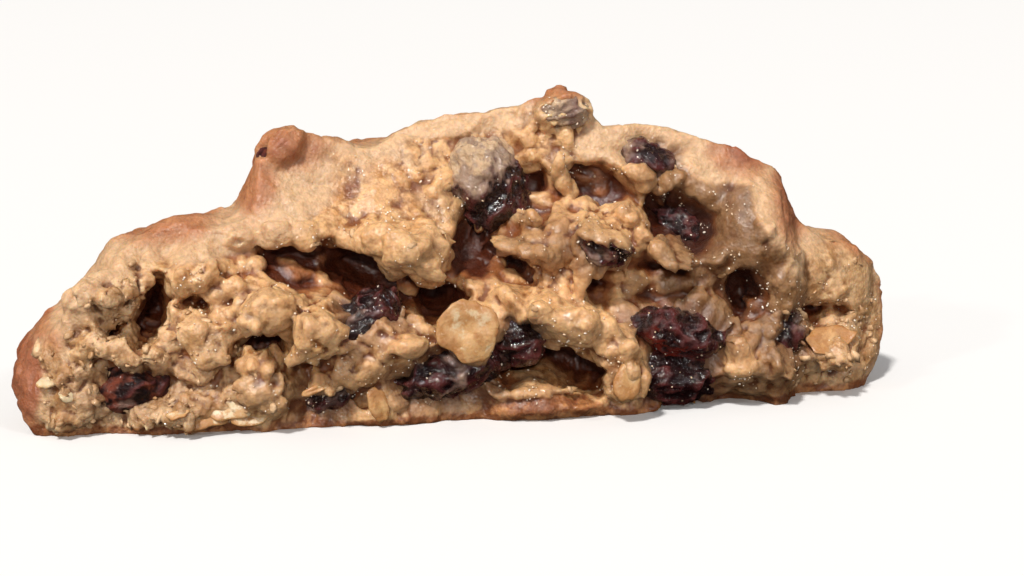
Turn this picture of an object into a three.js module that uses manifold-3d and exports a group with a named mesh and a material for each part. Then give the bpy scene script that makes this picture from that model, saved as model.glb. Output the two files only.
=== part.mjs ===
// Half of a thick oatmeal raisin cookie, pulled apart by hand. Units are millimetres, +Z is up.
//
// The cookie is a mound of dough lobes that ran together in the oven. It rests on its flat baked
// base, its torn face looks along -Y, and its round crust is behind. The torn face is a relief of
// caves, lumps and dough bridges, rolled oat flakes are fused to it and to the crust, and each
// raisin is a solid of its own in a socket of the dough.
//
// Shapes are first laid out in the "tear frame": X runs along the tear, Y runs into the cookie
// from the tear line, Z is up from the base. The last group moves that frame so that the origin
// is at the middle of the base of the whole half.

import * as THREE from "three";
import { ImprovedNoise } from "three/addons/math/ImprovedNoise.js";
import { mergeVertices } from "three/addons/utils/BufferGeometryUtils.js";
import Module from "manifold-3d";

const wasm = await Module();
wasm.setup();

// ---------------------------------------------------------------- driving dimensions

const cookieRadius = 50; // of the main mound, without the lobes that stand out of it
const moundHeight = 26; // top of the main mound above the base
const bulgeHeight = 3; // height at which the side is widest
const tearToCentre = 4; // from the tear line back to the middle of the unbroken cookie

const crustEdge = 3.3; // length of a triangle's side on the crust
const tearEdge = 1.55; // the same on the torn face
const lobeBlend = 2.2; // how softly one lobe runs into the next
const tearBlend = 0.6; // how softly one lump of the tear runs into the next

const raisinGap = 0.36; // between a raisin and its socket

// ---------------------------------------------------------------- small tools

const noise = new ImprovedNoise();
const degrees = THREE.MathUtils.degToRad;

/** Seeded random numbers from 0 to 1, the same on every run. */
function randomFrom(seed) {
  let state = seed;
  return () => {
    state = (state + 0x6d2b79f5) | 0;
    let t = Math.imul(state ^ (state >>> 15), 1 | state);
    t = (t + Math.imul(t ^ (t >>> 7), 61 | t)) ^ t;
    return ((t ^ (t >>> 14)) >>> 0) / 4294967296;
  };
}

/** Smooth noise with lumps about `size` across, from -1 to 1. */
function lumpNoise(x, y, z, size, offset = 0) {
  return noise.noise(x / size + offset, y / size + offset * 1.7, z / size - offset);
}

function smoothMin(a, b, blend) {
  const h = Math.max(blend - Math.abs(a - b), 0) / blend;
  return Math.min(a, b) - (h * h * blend) / 4;
}

function smoothMax(a, b, blend) {
  return -smoothMin(-a, -b, blend);
}

/** A geometry that keeps only positions, with shared vertices merged. */
function weld(geometry) {
  geometry.deleteAttribute("normal");
  geometry.deleteAttribute("uv");
  return mergeVertices(geometry, 1e-4);
}

/** Moves every vertex of a geometry with move(vertex). */
function reshape(geometry, move) {
  const position = geometry.getAttribute("position");
  const vertex = new THREE.Vector3();
  for (let i = 0; i < position.count; i += 1) {
    vertex.fromBufferAttribute(position, i);
    move(vertex);
    position.setXYZ(i, vertex.x, vertex.y, vertex.z);
  }
  return geometry;
}

function toSolid(geometry) {
  const welded = weld(geometry.clone());
  return new wasm.Manifold(
    new wasm.Mesh({
      numProp: 3,
      vertProperties: new Float32Array(welded.getAttribute("position").array),
      triVerts: new Uint32Array(welded.index.array),
    }),
  );
}

function toGeometry(solid) {
  const mesh = solid.getMesh();
  const geometry = new THREE.BufferGeometry();
  geometry.setAttribute("position", new THREE.BufferAttribute(mesh.vertProperties, 3));
  geometry.setIndex(new THREE.BufferAttribute(mesh.triVerts, 1));
  geometry.computeVertexNormals();
  return geometry;
}

/** The largest piece of a solid, without scraps that a cut left loose. */
function largestPiece(solid) {
  return solid.decompose().sort((a, b) => b.volume() - a.volume())[0];
}

// ---------------------------------------------------------------- the unbroken dough

/** Lobes of dough along the tear, from left to right: middle and half sizes, in the tear frame. */
const tearLobes = [
  { at: [-43.5, 8, 6.5], size: [9.2, 11, 7.8] }, // low rim on the left
  { at: [-32, 8, 12.6], size: [13, 12, 11.2] }, // left shoulder
  { at: [-16.5, 12, 19.5], size: [11, 11, 12.6] }, // upper left
  { at: [-20.3, 10, 28.4], size: [4.6, 5, 5] }, // knob over a raisin
  { at: [-7, 11, 22], size: [9, 8, 9.5] }, // saddle
  { at: [0, 11, 24.6], size: [10.5, 10, 10.5] }, // ridge
  { at: [9, 10, 24], size: [9.5, 11, 12.5] }, // peak
  { at: [11.6, 9, 33], size: [4.4, 4.6, 4.8] }, // knob on the peak
  { at: [21.4, 8, 25.2], size: [8.8, 9, 8.2] }, // upper right
  { at: [27.8, 7, 19], size: [14.2, 12, 12.5] }, // right shoulder
  { at: [34, 7, 24.8], size: [4.8, 5, 4.8] }, // knob on the right shoulder
  { at: [43.6, 11, 8.4], size: [11.6, 13, 12] }, // low lobe on the right
];

/** The main mound, and the high middle that the tear runs in front of. */
const mounds = [
  {
    at: [0, tearToCentre, bulgeHeight],
    size: [cookieRadius, cookieRadius * 0.94, moundHeight - bulgeHeight],
  },
  { at: [6, 19, 8], size: [30, 25, 19.5] },
];

/** Roughly the distance from a point to an ellipsoid, negative inside it. */
function ellipsoidField(p, { at, size }) {
  const x = p.x - at[0];
  const y = p.y - at[1];
  const z = p.z - at[2];
  const k0 = Math.hypot(x / size[0], y / size[1], z / size[2]);
  const k1 = Math.hypot(x / size[0] ** 2, y / size[1] ** 2, z / size[2] ** 2);
  return k1 < 1e-9 ? -Math.min(...size) : (k0 * (k0 - 1)) / k1;
}

/** Roughly the distance from a point to the smooth union of some lobes. */
function lobesField(p, lobes) {
  return lobes.reduce((field, lobe) => smoothMin(field, ellipsoidField(p, lobe), lobeBlend), 1e3);
}

const doughHeart = new THREE.Vector3(0, 21, 9); // sees all of the crust

/** The farthest point of a field's surface from the heart of the dough, in a given direction. */
function surfacePoint(direction, field) {
  const reach = 90;
  const careful = 0.6;
  const p = new THREE.Vector3();
  let along = reach;
  for (let i = 0; i < 160; i += 1) {
    p.copy(direction).multiplyScalar(along).add(doughHeart);
    const distance = field(p);
    if (distance < 0.01) break;
    along -= distance * careful;
  }
  return p;
}

/** A direction from a heading round the cookie and a lift above the base, in degrees. */
function directionOf(heading, lift) {
  const flat = Math.cos(degrees(lift));
  return new THREE.Vector3(
    flat * Math.cos(degrees(heading)),
    flat * Math.sin(degrees(heading)),
    Math.sin(degrees(lift)),
  );
}

const crustLobeCount = 44;

/** Lobes over the rest of the crust, on a golden-angle spiral with seeded unevenness. */
function crustLobes() {
  const random = randomFrom(7);
  const base = [...mounds, ...tearLobes];
  const made = [];
  for (let i = 0; i < crustLobeCount; i += 1) {
    const lift = -4 + 88 * ((i + 0.3 + 0.4 * random()) / crustLobeCount) ** 1.35;
    const heading = i * 137.508 + 22 * random();
    const out = directionOf(heading, lift);
    const surface = surfacePoint(out, (p) => lobesField(p, base));
    const size = 6 + 4.5 * random();
    surface.addScaledVector(out, -size * (0.62 + 0.18 * random() + 0.25 * out.z));
    if (surface.y > 15) made.push({ at: surface.toArray(), size: [size * 1.1, size * 1.1, size] });
  }
  return made;
}

const lobes = [...mounds, ...tearLobes, ...crustLobes()];

/** Roughly the distance from a point to the crust of the whole cookie. */
function doughField(p) {
  const bumps = 0.8 * lumpNoise(p.x, p.y, p.z, 8) + 0.45 * lumpNoise(p.x, p.y, p.z, 3.6, 5);
  return lobesField(p, lobes) - bumps;
}

function crustPoint(direction) {
  return surfacePoint(direction, doughField);
}

/** The way the crust faces at a point on it. */
function crustNormal(p) {
  const step = 0.5;
  const slope = (dx, dy, dz) =>
    doughField(p.clone().add(new THREE.Vector3(dx, dy, dz))) -
    doughField(p.clone().sub(new THREE.Vector3(dx, dy, dz)));
  return new THREE.Vector3(slope(step, 0, 0), slope(0, step, 0), slope(0, 0, step)).normalize();
}

/** Turns a shape that lies in XY to face the way the crust does at a point, and moves it there. */
function layOnCrust(shape, out, sunk) {
  const p = crustPoint(out);
  const face = crustNormal(p);
  shape.applyQuaternion(new THREE.Quaternion().setFromUnitVectors(new THREE.Vector3(0, 0, 1), face));
  p.addScaledVector(face, -sunk);
  return shape.translate(p.x, p.y, p.z);
}

/** The whole lobed dough, as one ball whose vertices are drawn in to the crust. */
function wholeDough() {
  const steps = Math.round((cookieRadius * 1.15) / crustEdge) - 2;
  const ball = weld(new THREE.IcosahedronGeometry(1, steps));
  return toSolid(reshape(ball, (v) => v.copy(crustPoint(v.clone().normalize()))));
}

// ---------------------------------------------------------------- the torn face

/** Hollows of the tear: middle [x, z], half sizes [x, z], turn in degrees, depth. */
const caves = [
  { at: [-35.8, 13.9], size: [2.1, 4.4], turn: -20, deep: 5.5 }, // hole in the left crumb
  { at: [-40.8, 12.2], size: [3.0, 1.3], turn: 0, deep: 3 },
  { at: [-23.6, 9.4], size: [3.2, 2.2], turn: 20, deep: 3.6 },
  { at: [-17.5, 18.2], size: [7.5, 3.2], turn: -12, deep: 5 }, // long cave under the crust
  { at: [-9.6, 15.6], size: [6.6, 3.4], turn: -28, deep: 8.5 },
  { at: [-2.6, 13.2], size: [3.6, 2.5], turn: 35, deep: 8.5 }, // black cave
  { at: [1.3, 19.2], size: [3.6, 3.8], turn: 0, deep: 4 },
  { at: [5.6, 17.2], size: [3.6, 1.9], turn: -25, deep: 6.5 },
  { at: [7.9, 6.8], size: [5.6, 2.2], turn: 8, deep: 8 }, // cave over the base
  { at: [13.4, 4.9], size: [4.4, 2.3], turn: -20, deep: 5.5 },
  { at: [9.0, 25.4], size: [2.3, 3.8], turn: 8, deep: 4.5 }, // niche beside the big raisin
  { at: [16.4, 25.8], size: [4.4, 2.9], turn: -15, deep: 6 },
  { at: [15.9, 15.1], size: [1.9, 2.8], turn: 0, deep: 4.5 },
  { at: [23.7, 15.3], size: [6.5, 3.6], turn: 0, deep: 4 },
  { at: [25.1, 22.6], size: [4.6, 2.6], turn: -35, deep: 4.5 },
  { at: [33.2, 13.2], size: [2.2, 3.8], turn: 12, deep: 5 },
  { at: [44.8, 9.4], size: [5.0, 1.1], turn: 8, deep: 3 }, // crack on the right
  { at: [-30.3, 14.6], size: [1.9, 0.9], turn: -10, deep: 2.6 },
  { at: [32.5, -0.4], size: [4.5, 2.4], turn: 0, deep: 4.5 }, // arch under the right side
];

/** Lumps of the tear: middle [x, z], half sizes [x, z], turn in degrees, rise towards -Y. */
const lumps = [
  { at: [-40, 16.9], size: [4.6, 3.4], turn: -15, rise: 2.4 }, // dry crumb on the left
  { at: [-43.5, 10.1], size: [5.0, 3.2], turn: 0, rise: 1.6 },
  { at: [-46.5, 5.2], size: [4.6, 4.4], turn: 0, rise: 1.8 },
  { at: [-37.5, 9.6], size: [4.2, 2.0], turn: -15, rise: 2.6 },
  { at: [-31.5, 18.6], size: [4.5, 2.6], turn: 12, rise: 2.8 },
  { at: [-28.8, 11.6], size: [3.9, 3.1], turn: 20, rise: 3.4 },
  { at: [-22.6, 14], size: [3.7, 2.8], turn: -20, rise: 3.6 },
  { at: [-17.3, 11.3], size: [3.5, 3.6], turn: 15, rise: 4.6 },
  { at: [-6.7, 19.9], size: [5.2, 3.2], turn: -12, rise: 5.2 }, // shining lump over the cave
  { at: [-8.3, 10.2], size: [4.4, 3.4], turn: 15, rise: 4.4 },
  { at: [-11.8, 6.9], size: [3.2, 2.6], turn: 10, rise: 3.8 },
  { at: [0, 10.9], size: [3.7, 3.5], turn: 0, rise: 5.4 }, // shelf under the big flake
  { at: [7.4, 13.8], size: [4.8, 2.6], turn: -28, rise: 5.2 }, // dough bridge, three lumps
  { at: [12.2, 11.2], size: [5.0, 3.0], turn: -20, rise: 5.4 },
  { at: [17, 7.6], size: [3.0, 4.0], turn: 25, rise: 5.0 },
  { at: [6.0, 19.9], size: [4.2, 1.7], turn: -8, rise: 3.6 }, // ledge
  { at: [10.2, 21.4], size: [2.4, 3.4], turn: 0, rise: 2.8 },
  { at: [15.6, 19.6], size: [4.0, 3.0], turn: -30, rise: 3.6 },
  { at: [26.5, 18.2], size: [5.0, 2.2], turn: 5, rise: 2.4 },
  { at: [35.2, 22], size: [5.0, 5.4], turn: -20, rise: 3.4 },
  { at: [41, 15.2], size: [5.2, 4.4], turn: 0, rise: 2.2 },
  { at: [48, 13], size: [4.2, 5.2], turn: 0, rise: 1.6 },
  { at: [45.2, 6], size: [4.8, 2.4], turn: 8, rise: 3.2 },
  { at: [37.6, 5.6], size: [3.2, 3.0], turn: 0, rise: 1.8 },
  { at: [9.8, 1.6], size: [7.0, 2.0], turn: 3, rise: 2.4 }, // tongue of base crust
  { at: [-23.5, 4.7], size: [3.4, 3.8], turn: 0, rise: 3.4 },
  { at: [-30.8, 2.6], size: [7.0, 2.2], turn: 3, rise: 1.9 },
  { at: [-10.2, 1.8], size: [6.5, 1.8], turn: 0, rise: 1.2 },
];

/** Distance from an oval's middle as a share of its radius, in the plane of the tear. */
function ovalShare(x, z, { at, size, turn }) {
  const c = Math.cos(degrees(turn));
  const s = Math.sin(degrees(turn));
  const dx = x - at[0];
  const dz = z - at[1];
  return Math.hypot((dx * c + dz * s) / size[0], (dz * c - dx * s) / size[1]);
}

const leanFrom = 17; // the tear stands upright below this height and leans back above it

/** How far the middle of the tear lies behind the tear line, without lumps and caves. */
function tearDepth(x, z) {
  const slope = 0.36 + 0.2 * Math.exp(-(((x + 10) / 14) ** 2));
  const lean = 0.08 * z + slope * Math.max(0, z - leanFrom);
  const rightStep = 5 * THREE.MathUtils.smoothstep(x, 38, 42);
  const rightEnd = 0.02 * Math.max(0, x - 40) ** 2;
  const leftEnd = 0.012 * Math.max(0, -x - 38) ** 2;
  return lean + rightStep + rightEnd + leftEnd;
}

/** How far the tear stands out towards -Y at a point, over its middle surface. */
function tearRelief(x, z) {
  const wobble = 0.16 * lumpNoise(x, 0, z, 2.4, 9);
  const rough = 1.3 * lumpNoise(x, 3, z, 7.5, 2) + 0.8 * lumpNoise(x, 1, z, 3.1, 4);
  let out = rough;
  for (const lump of lumps) {
    const d = ovalShare(x, z, lump) + wobble;
    if (d < 1) {
      const cap = lump.rise * Math.sqrt(1 - Math.max(d, 0) ** 2) + 0.35 * rough;
      out = smoothMax(out, cap, tearBlend);
    }
  }
  for (const cave of caves) {
    const d = ovalShare(x, z, cave) + wobble;
    if (d < 1) {
      const pit = out - (out + cave.deep) * (1 - Math.max(d, 0) ** 2) ** 0.45;
      out = smoothMin(out, pit, tearBlend);
    }
  }
  return out;
}

/** Y of the torn face over a point of the tear line. */
function tearAt(x, z) {
  return tearDepth(x, z) - tearRelief(x, z);
}

/** Evens out the sheet: each inner vertex slides towards its longer edges, back on the tear. */
function evenOut(sheet, isSheet, rounds) {
  const position = sheet.getAttribute("position");
  const corners = sheet.index.array;
  const neighbours = Array.from({ length: position.count }, () => new Set());
  for (let i = 0; i < corners.length; i += 3) {
    for (const [a, b] of [[0, 1], [1, 2], [2, 0]]) {
      neighbours[corners[i + a]].add(corners[i + b]);
      neighbours[corners[i + b]].add(corners[i + a]);
    }
  }
  const inner = neighbours
    .map((around, i) => ({ i, around: [...around] }))
    .filter(({ i, around }) => [i, ...around].every(isSheet));
  const here = new THREE.Vector3();
  const there = new THREE.Vector3();
  for (let round = 0; round < rounds; round += 1) {
    for (const { i, around } of inner) {
      here.fromBufferAttribute(position, i);
      const sum = { x: 0, z: 0, weight: 0 };
      for (const j of around) {
        there.fromBufferAttribute(position, j);
        const weight = there.distanceTo(here) ** 1.5;
        sum.x += weight * there.x;
        sum.z += weight * there.z;
        sum.weight += weight;
      }
      const x = (here.x + sum.x / sum.weight) / 2;
      const z = (here.z + sum.z / sum.weight) / 2;
      position.setXYZ(i, x, tearAt(x, z), z);
    }
  }
}

/** Splits each four-cornered cell of a box geometry along its shorter diagonal. */
function shortDiagonals(geometry) {
  const position = geometry.getAttribute("position");
  const corners = geometry.index.array;
  const at = (i) => new THREE.Vector3().fromBufferAttribute(position, i);
  for (let i = 0; i < corners.length; i += 6) {
    const [a, b, d, , c] = corners.slice(i, i + 6);
    if (at(a).distanceTo(at(c)) < at(b).distanceTo(at(d))) corners.set([a, b, c, a, c, d], i);
  }
}

/** A block in front of the tear, whose far side is the torn face itself, on an uneven grid. */
function tornAwayHalf() {
  const random = randomFrom(3);
  const width = 124;
  const height = 48;
  const depth = 70;
  const columns = Math.round(width / tearEdge);
  const rows = Math.round(height / tearEdge);
  const block = weld(new THREE.BoxGeometry(width, depth, height, columns, 1, rows));
  const position = block.getAttribute("position");
  const far = Array.from({ length: position.count }, (_, i) => position.getY(i) > 0);
  reshape(block, (v) => {
    v.x += 0.7 * tearEdge * (random() - 0.5);
    v.z += 0.7 * tearEdge * (random() - 0.5) + height / 2 - 4;
    v.y = v.y > 0 ? tearAt(v.x, v.z) : -depth;
  });
  evenOut(block, (i) => far[i], 14);
  shortDiagonals(block);
  return toSolid(block);
}

// ---------------------------------------------------------------- oat flakes

/** One rolled oat: a thin oval that cups a little. */
function flakeGeometry({ length, width, thick, cup }) {
  return reshape(weld(new THREE.SphereGeometry(1, 8, 4)), (v) => {
    const wave = 1 + 0.12 * Math.sin(3 * Math.atan2(v.y, v.x) + cup * 9);
    v.set((v.x * wave * length) / 2, (v.y * wave * width) / 2, (v.z * thick) / 2);
    v.z += cup * (v.x ** 2 + 0.6 * v.y ** 2) * 0.06;
  });
}

/** Flakes that show on the tear: middle [x, z], length, width, and turns about Y, X and Z. */
const tearFlakes = [
  { at: [-0.1, 11.2], long: 8.2, wide: 6.8, spin: -35, tip: 78, swing: -12, out: 0.7 }, // the big one
  { at: [-9.8, 3.2], long: 5.2, wide: 2.9, spin: -70, tip: 80, swing: 10, out: 0.5 },
  { at: [6.2, 14.8], long: 5.2, wide: 4.0, spin: 15, tip: 60, swing: 0, out: 0.4 },
  { at: [-22.8, 14.4], long: 5.6, wide: 4.4, spin: 10, tip: 70, swing: 12, out: 0.4 },
  { at: [-17.6, 11.8], long: 6.2, wide: 4.6, spin: 50, tip: 75, swing: -12, out: 0.5 },
  { at: [-28.6, 12], long: 5.4, wide: 4.6, spin: 30, tip: 66, swing: 8, out: 0.4 },
  { at: [-24.6, 6.6], long: 6.4, wide: 2.6, spin: 78, tip: 82, swing: 0, out: 0.7 },
  { at: [18.2, 5], long: 6.2, wide: 4.2, spin: 62, tip: 62, swing: 20, out: 0.6 },
  { at: [12.4, 27], long: 5.4, wide: 2.6, spin: -68, tip: 80, swing: 0, out: 1.4 },
  { at: [32.6, 5], long: 4.6, wide: 4.0, spin: 70, tip: 70, swing: 0, out: 1.2 },
  { at: [45.4, 6.4], long: 7.2, wide: 4.4, spin: 12, tip: 58, swing: 10, out: 0.3 },
  { at: [-40.4, 17.4], long: 6.0, wide: 4.6, spin: -12, tip: 40, swing: 0, out: 0.2 },
  { at: [-33.2, 3.6], long: 7.0, wide: 4.0, spin: 6, tip: 40, swing: 0, out: 0.3 },
  { at: [-16.4, 6.4], long: 4.4, wide: 3.0, spin: 30, tip: 50, swing: 0, out: 1.0 },
  { at: [24.4, 18.8], long: 5.8, wide: 4.2, spin: -10, tip: 55, swing: 0, out: 0.3 },
  { at: [14.4, 20.6], long: 5.6, wide: 4.2, spin: -38, tip: 64, swing: 0, out: 0.5 },
];
const flakeThick = 1.1;
const crustFlakeCount = 10;

function tearFlakeSolids() {
  return tearFlakes.map(({ at, long, wide, spin, tip, swing, out }, i) => {
    const shape = flakeGeometry({ length: long, width: wide, thick: flakeThick, cup: (i % 3) - 1 });
    const turn = new THREE.Matrix4().makeRotationZ(degrees(swing));
    turn.multiply(new THREE.Matrix4().makeRotationY(degrees(-spin)));
    turn.multiply(new THREE.Matrix4().makeRotationX(degrees(tip)));
    shape.applyMatrix4(turn);
    shape.translate(at[0], tearAt(at[0], at[1]) - out, at[1]);
    return toSolid(shape);
  });
}

/** Flakes baked into the crust, flat against it. */
function crustFlakeSolids() {
  const random = randomFrom(21);
  const solids = [];
  for (let i = 0; i < crustFlakeCount; i += 1) {
    const heading = 12 + (156 * (i + random())) / crustFlakeCount;
    const shape = flakeGeometry({
      length: 6.4 + 1.6 * random(),
      width: 4.8 + 1.2 * random(),
      thick: flakeThick,
      cup: -0.8,
    });
    shape.rotateZ(random() * Math.PI);
    shape.rotateX(0.2 * (random() - 0.5));
    solids.push(toSolid(layOnCrust(shape, directionOf(heading, 14 + 56 * ((i * 0.618) % 1)), 0)));
  }
  return solids;
}

// ---------------------------------------------------------------- raisins

/** Raisins in the tear: middle [x, z], half sizes, spin in the tear's plane, and how far sunk. */
const tearRaisins = {
  raisin_big: { at: [3.4, 26.4], half: [4.9, 4.2, 5.9], spin: 10, sunk: 1.4 },
  raisin_upper_right: { at: [22.9, 28.8], half: [3.6, 3.0, 2.5], spin: -35, sunk: 1.2 },
  raisin_black: { at: [27.2, 20.9], half: [4.4, 3.0, 2.6], spin: -38, sunk: 0.9 },
  raisin_middle: { at: [15.6, 20.4], half: [3.8, 2.6, 2.3], spin: -25, sunk: -0.2 },
  raisin_under_flake: { at: [6.0, 9.4], half: [3.4, 3.0, 3.1], spin: 25, sunk: -0.4 },
  raisin_low_middle: { at: [-2.4, 5.8], half: [7.2, 3.8, 3.5], spin: 18, sunk: 0.2 },
  raisin_cave: { at: [-11.6, 12.4], half: [4.2, 3.0, 3.2], spin: 35, sunk: -0.6 },
  raisin_left: { at: [-37.8, 5.4], half: [4.6, 3.4, 2.7], spin: 12, sunk: 1.0 },
  raisin_torn: { at: [25.2, 9.5], half: [6.4, 3.2, 2.5], spin: -14, sunk: -1.4 },
  raisin_low_right: { at: [24.4, 3.9], half: [6.0, 4.0, 3.4], spin: -8, sunk: 0.6 },
  raisin_far_right: { at: [39.2, 8.4], half: [3.0, 2.8, 2.7], spin: -40, sunk: 1.4 },
  raisin_low_left: { at: [-16.0, 3.6], half: [3.4, 2.8, 2.0], spin: 12, sunk: 0.4 },
};

/** Raisins in the crust: heading round the cookie and lift, in degrees, and how far sunk. */
const crustRaisins = {
  raisin_knob: { heading: 207, lift: 43, half: [3.4, 2.4, 2.0], sunk: 2.2 },
  raisin_peak: { heading: 314, lift: 58, half: [3.4, 2.6, 2.2], sunk: 2.6 },
  raisin_crust_back: { heading: 72, lift: 34, half: [4.6, 3.8, 3.0], sunk: 1.5 },
  raisin_crust_side: { heading: 138, lift: 24, half: [4.2, 3.4, 2.8], sunk: 1.2 },
};

/** A dried grape: an oval ball drawn into shallow folds along its length. */
function raisinGeometry(half, grown, seed) {
  return reshape(weld(new THREE.IcosahedronGeometry(1, 2)), (v) => {
    const folds = 0.06 * Math.sin(5 * Math.atan2(v.z, v.y) + seed + 1.5 * v.x);
    const dents = 0.1 * lumpNoise(v.x, v.y, v.z, 0.8, seed);
    const size = 0.97 + folds + dents;
    v.set(
      v.x * (half[0] * size + grown),
      v.y * (half[1] * size + grown),
      v.z * (half[2] * size + grown),
    );
  });
}

/** Builds each raisin and its socket, in order, so that a later one keeps clear of the earlier. */
function raisinSolids() {
  const made = [];
  const place = (name, half, seed, pose) => {
    const geometries = [0, raisinGap].map((grown) => pose(raisinGeometry(half, grown, seed)));
    let [body] = geometries.map(toSolid);
    const socket = toSolid(geometries[1]);
    for (const other of made) body = body.subtract(other.socket);
    made.push({ name, body, socket });
  };
  Object.entries(tearRaisins).forEach(([name, { at, half, spin, sunk }], i) => {
    const y = tearAt(at[0], at[1]) + sunk + half[1] * 0.35;
    place(name, half, i * 1.9, (shape) =>
      shape.rotateY(degrees(-spin)).translate(at[0], y, at[1]),
    );
  });
  Object.entries(crustRaisins).forEach(([name, { heading, lift, half, sunk }], i) => {
    const out = directionOf(heading, lift);
    place(name, half, 40 + i * 2.3, (shape) => layOnCrust(shape, out, sunk));
  });
  return made;
}

// ---------------------------------------------------------------- assembly

/** Everything above the baking sheet. */
function aboveBase() {
  const block = new THREE.BoxGeometry(200, 200, 100);
  block.translate(0, 0, 50);
  return toSolid(block);
}

function doughSolid(raisins) {
  let dough = wholeDough().subtract(tornAwayHalf());
  for (const flake of [...tearFlakeSolids(), ...crustFlakeSolids()]) dough = dough.add(flake);
  for (const { socket } of raisins) dough = dough.subtract(socket);
  return largestPiece(dough.intersect(aboveBase()));
}

const doughLook = { color: 0xc4935a, roughness: 0.6, metalness: 0 };
const raisinLook = { color: 0x3a1c22, roughness: 0.35, metalness: 0 };

function namedMesh(name, solid, look) {
  const mesh = new THREE.Mesh(toGeometry(solid), new THREE.MeshStandardMaterial(look));
  mesh.name = name;
  return mesh;
}

const tearFrame = new THREE.Group();
const raisins = raisinSolids();
tearFrame.add(namedMesh("dough", doughSolid(raisins), doughLook));
for (const { name, body } of raisins) {
  tearFrame.add(namedMesh(name, largestPiece(body.intersect(aboveBase())), raisinLook));
}

const middle = new THREE.Box3().setFromObject(tearFrame).getCenter(new THREE.Vector3());
tearFrame.position.set(-middle.x, -middle.y, 0);

const cookieHalf = new THREE.Group();
cookieHalf.add(tearFrame);

export default cookieHalf;
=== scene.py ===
"""Looks of a thick oatmeal raisin cookie torn in half: crust, wet crumb, oat flakes and raisins.

Shapes are worked out in the tear's own frame, in millimetres: X runs along the tear, Y runs into
the cookie from the tear line, Z is up from the base. Each finished mesh is then moved to the
part's frame, in metres.
"""

import itertools
import logging
import math
import random
from dataclasses import dataclass, field
from enum import Enum

import bmesh
import bpy
import numpy as np
from mathutils import Matrix, Vector, noise
from mathutils.bvhtree import BVHTree


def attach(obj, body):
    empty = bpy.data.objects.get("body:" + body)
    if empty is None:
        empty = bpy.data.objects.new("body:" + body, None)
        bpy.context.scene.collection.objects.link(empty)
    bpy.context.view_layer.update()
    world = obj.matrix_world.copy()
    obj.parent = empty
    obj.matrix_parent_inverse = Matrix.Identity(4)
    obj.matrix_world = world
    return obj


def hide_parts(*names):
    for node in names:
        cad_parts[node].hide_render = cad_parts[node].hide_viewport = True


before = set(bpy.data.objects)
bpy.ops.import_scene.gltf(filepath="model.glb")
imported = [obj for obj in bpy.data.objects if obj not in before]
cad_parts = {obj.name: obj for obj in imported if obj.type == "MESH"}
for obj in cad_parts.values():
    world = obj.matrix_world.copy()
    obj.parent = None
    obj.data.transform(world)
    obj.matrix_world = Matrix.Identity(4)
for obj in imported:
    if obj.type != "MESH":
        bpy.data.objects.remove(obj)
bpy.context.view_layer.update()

log = logging.getLogger("cookie")

MM = 0.001
TEAR_ORIGIN = Vector((-1.11, -23.345, 0.0))  # of the tear's frame in the part's, in millimetres
TO_PART = Matrix.Scale(MM, 4) @ Matrix.Translation(TEAR_ORIGIN)
TO_TEAR = TO_PART.inverted()

FULL_TURN = 6.3  # radians, rounded up
MERGED = 0.002  # points of a CAD solid nearer than this are one
FAR = 9.0  # further than anything that is measured

Triple = tuple[float, float, float]
Colour = tuple[float, float, float, float]


def srgb(red: int, green: int, blue: int) -> Colour:
    """Turns a display colour, 0 to 255 a channel, into linear light.

    Args:
        red: the red channel.
        green: the green channel.
        blue: the blue channel.

    Returns:
        The linear colour, with full opacity.
    """
    linear = [
        c / 12.92 if c <= 0.04045 else ((c + 0.055) / 1.055) ** 2.4
        for c in (red / 255, green / 255, blue / 255)
    ]
    return (linear[0], linear[1], linear[2], 1.0)


def smoothstep(values: np.ndarray, low: float, high: float) -> np.ndarray:
    """Eases from 0 at low to 1 at high.

    Args:
        values: any numbers.
        low: where the result is 0.
        high: where the result is 1. It may be below low.

    Returns:
        Numbers from 0 to 1, as many as the values.
    """
    share = np.clip((values - low) / (high - low), 0, 1)
    return share * share * (3 - 2 * share)


def chance(cells: np.ndarray, seed: int) -> np.ndarray:
    """Draws a number for each cell of a grid, the same one whenever it is asked.

    Args:
        cells: whole numbers, one cell a row.
        seed: picks another set of numbers.

    Returns:
        A number from 0 to 1 for each cell.
    """
    x, y, z = cells.astype(np.int64).astype(np.uint32).T
    mixed = x * np.uint32(374761393) + y * np.uint32(668265263) + z * np.uint32(2246822519)
    mixed = mixed + np.uint32((seed + 1) * 2654435761 % 2**32)
    mixed = (mixed ^ (mixed >> np.uint32(15))) * np.uint32(2246822519)
    mixed = (mixed ^ (mixed >> np.uint32(13))) * np.uint32(3266489917)
    return (mixed ^ (mixed >> np.uint32(16))) / 2.0**32


def lumps(points: np.ndarray, size: float, seed: int = 0) -> np.ndarray:
    """Works out smooth noise.

    Args:
        points: one point a row.
        size: of its lumps, in millimetres.
        seed: picks another noise.

    Returns:
        A number for each point, mostly from -1 to 1.
    """
    at = points / size
    low = np.floor(at)
    part = at - low
    ease = part**3 * (part * (part * 6 - 15) + 10)
    total = np.zeros(len(points))
    for corner in itertools.product((0, 1), repeat=3):
        cell = low + corner
        slope = np.stack([chance(cell, seed * 3 + k) for k in range(3)], 1) * 2 - 1
        weight = np.prod(np.where(corner, ease, 1 - ease), axis=1)
        total += weight * np.einsum("ij,ij->i", slope, part - corner)
    return total * 1.7


def layered(points: np.ndarray, size: float, layers: int, seed: int = 0) -> np.ndarray:
    """Adds finer and finer noise, each layer half the size and strength of the one before.

    Args:
        points: one point a row.
        size: of the largest lumps, in millimetres.
        layers: how many.
        seed: picks another noise.

    Returns:
        A number for each point, mostly from -1 to 1.
    """
    return sum(lumps(points, size / 2**k, seed + k) / 2**k for k in range(layers)) / 1.4


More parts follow.
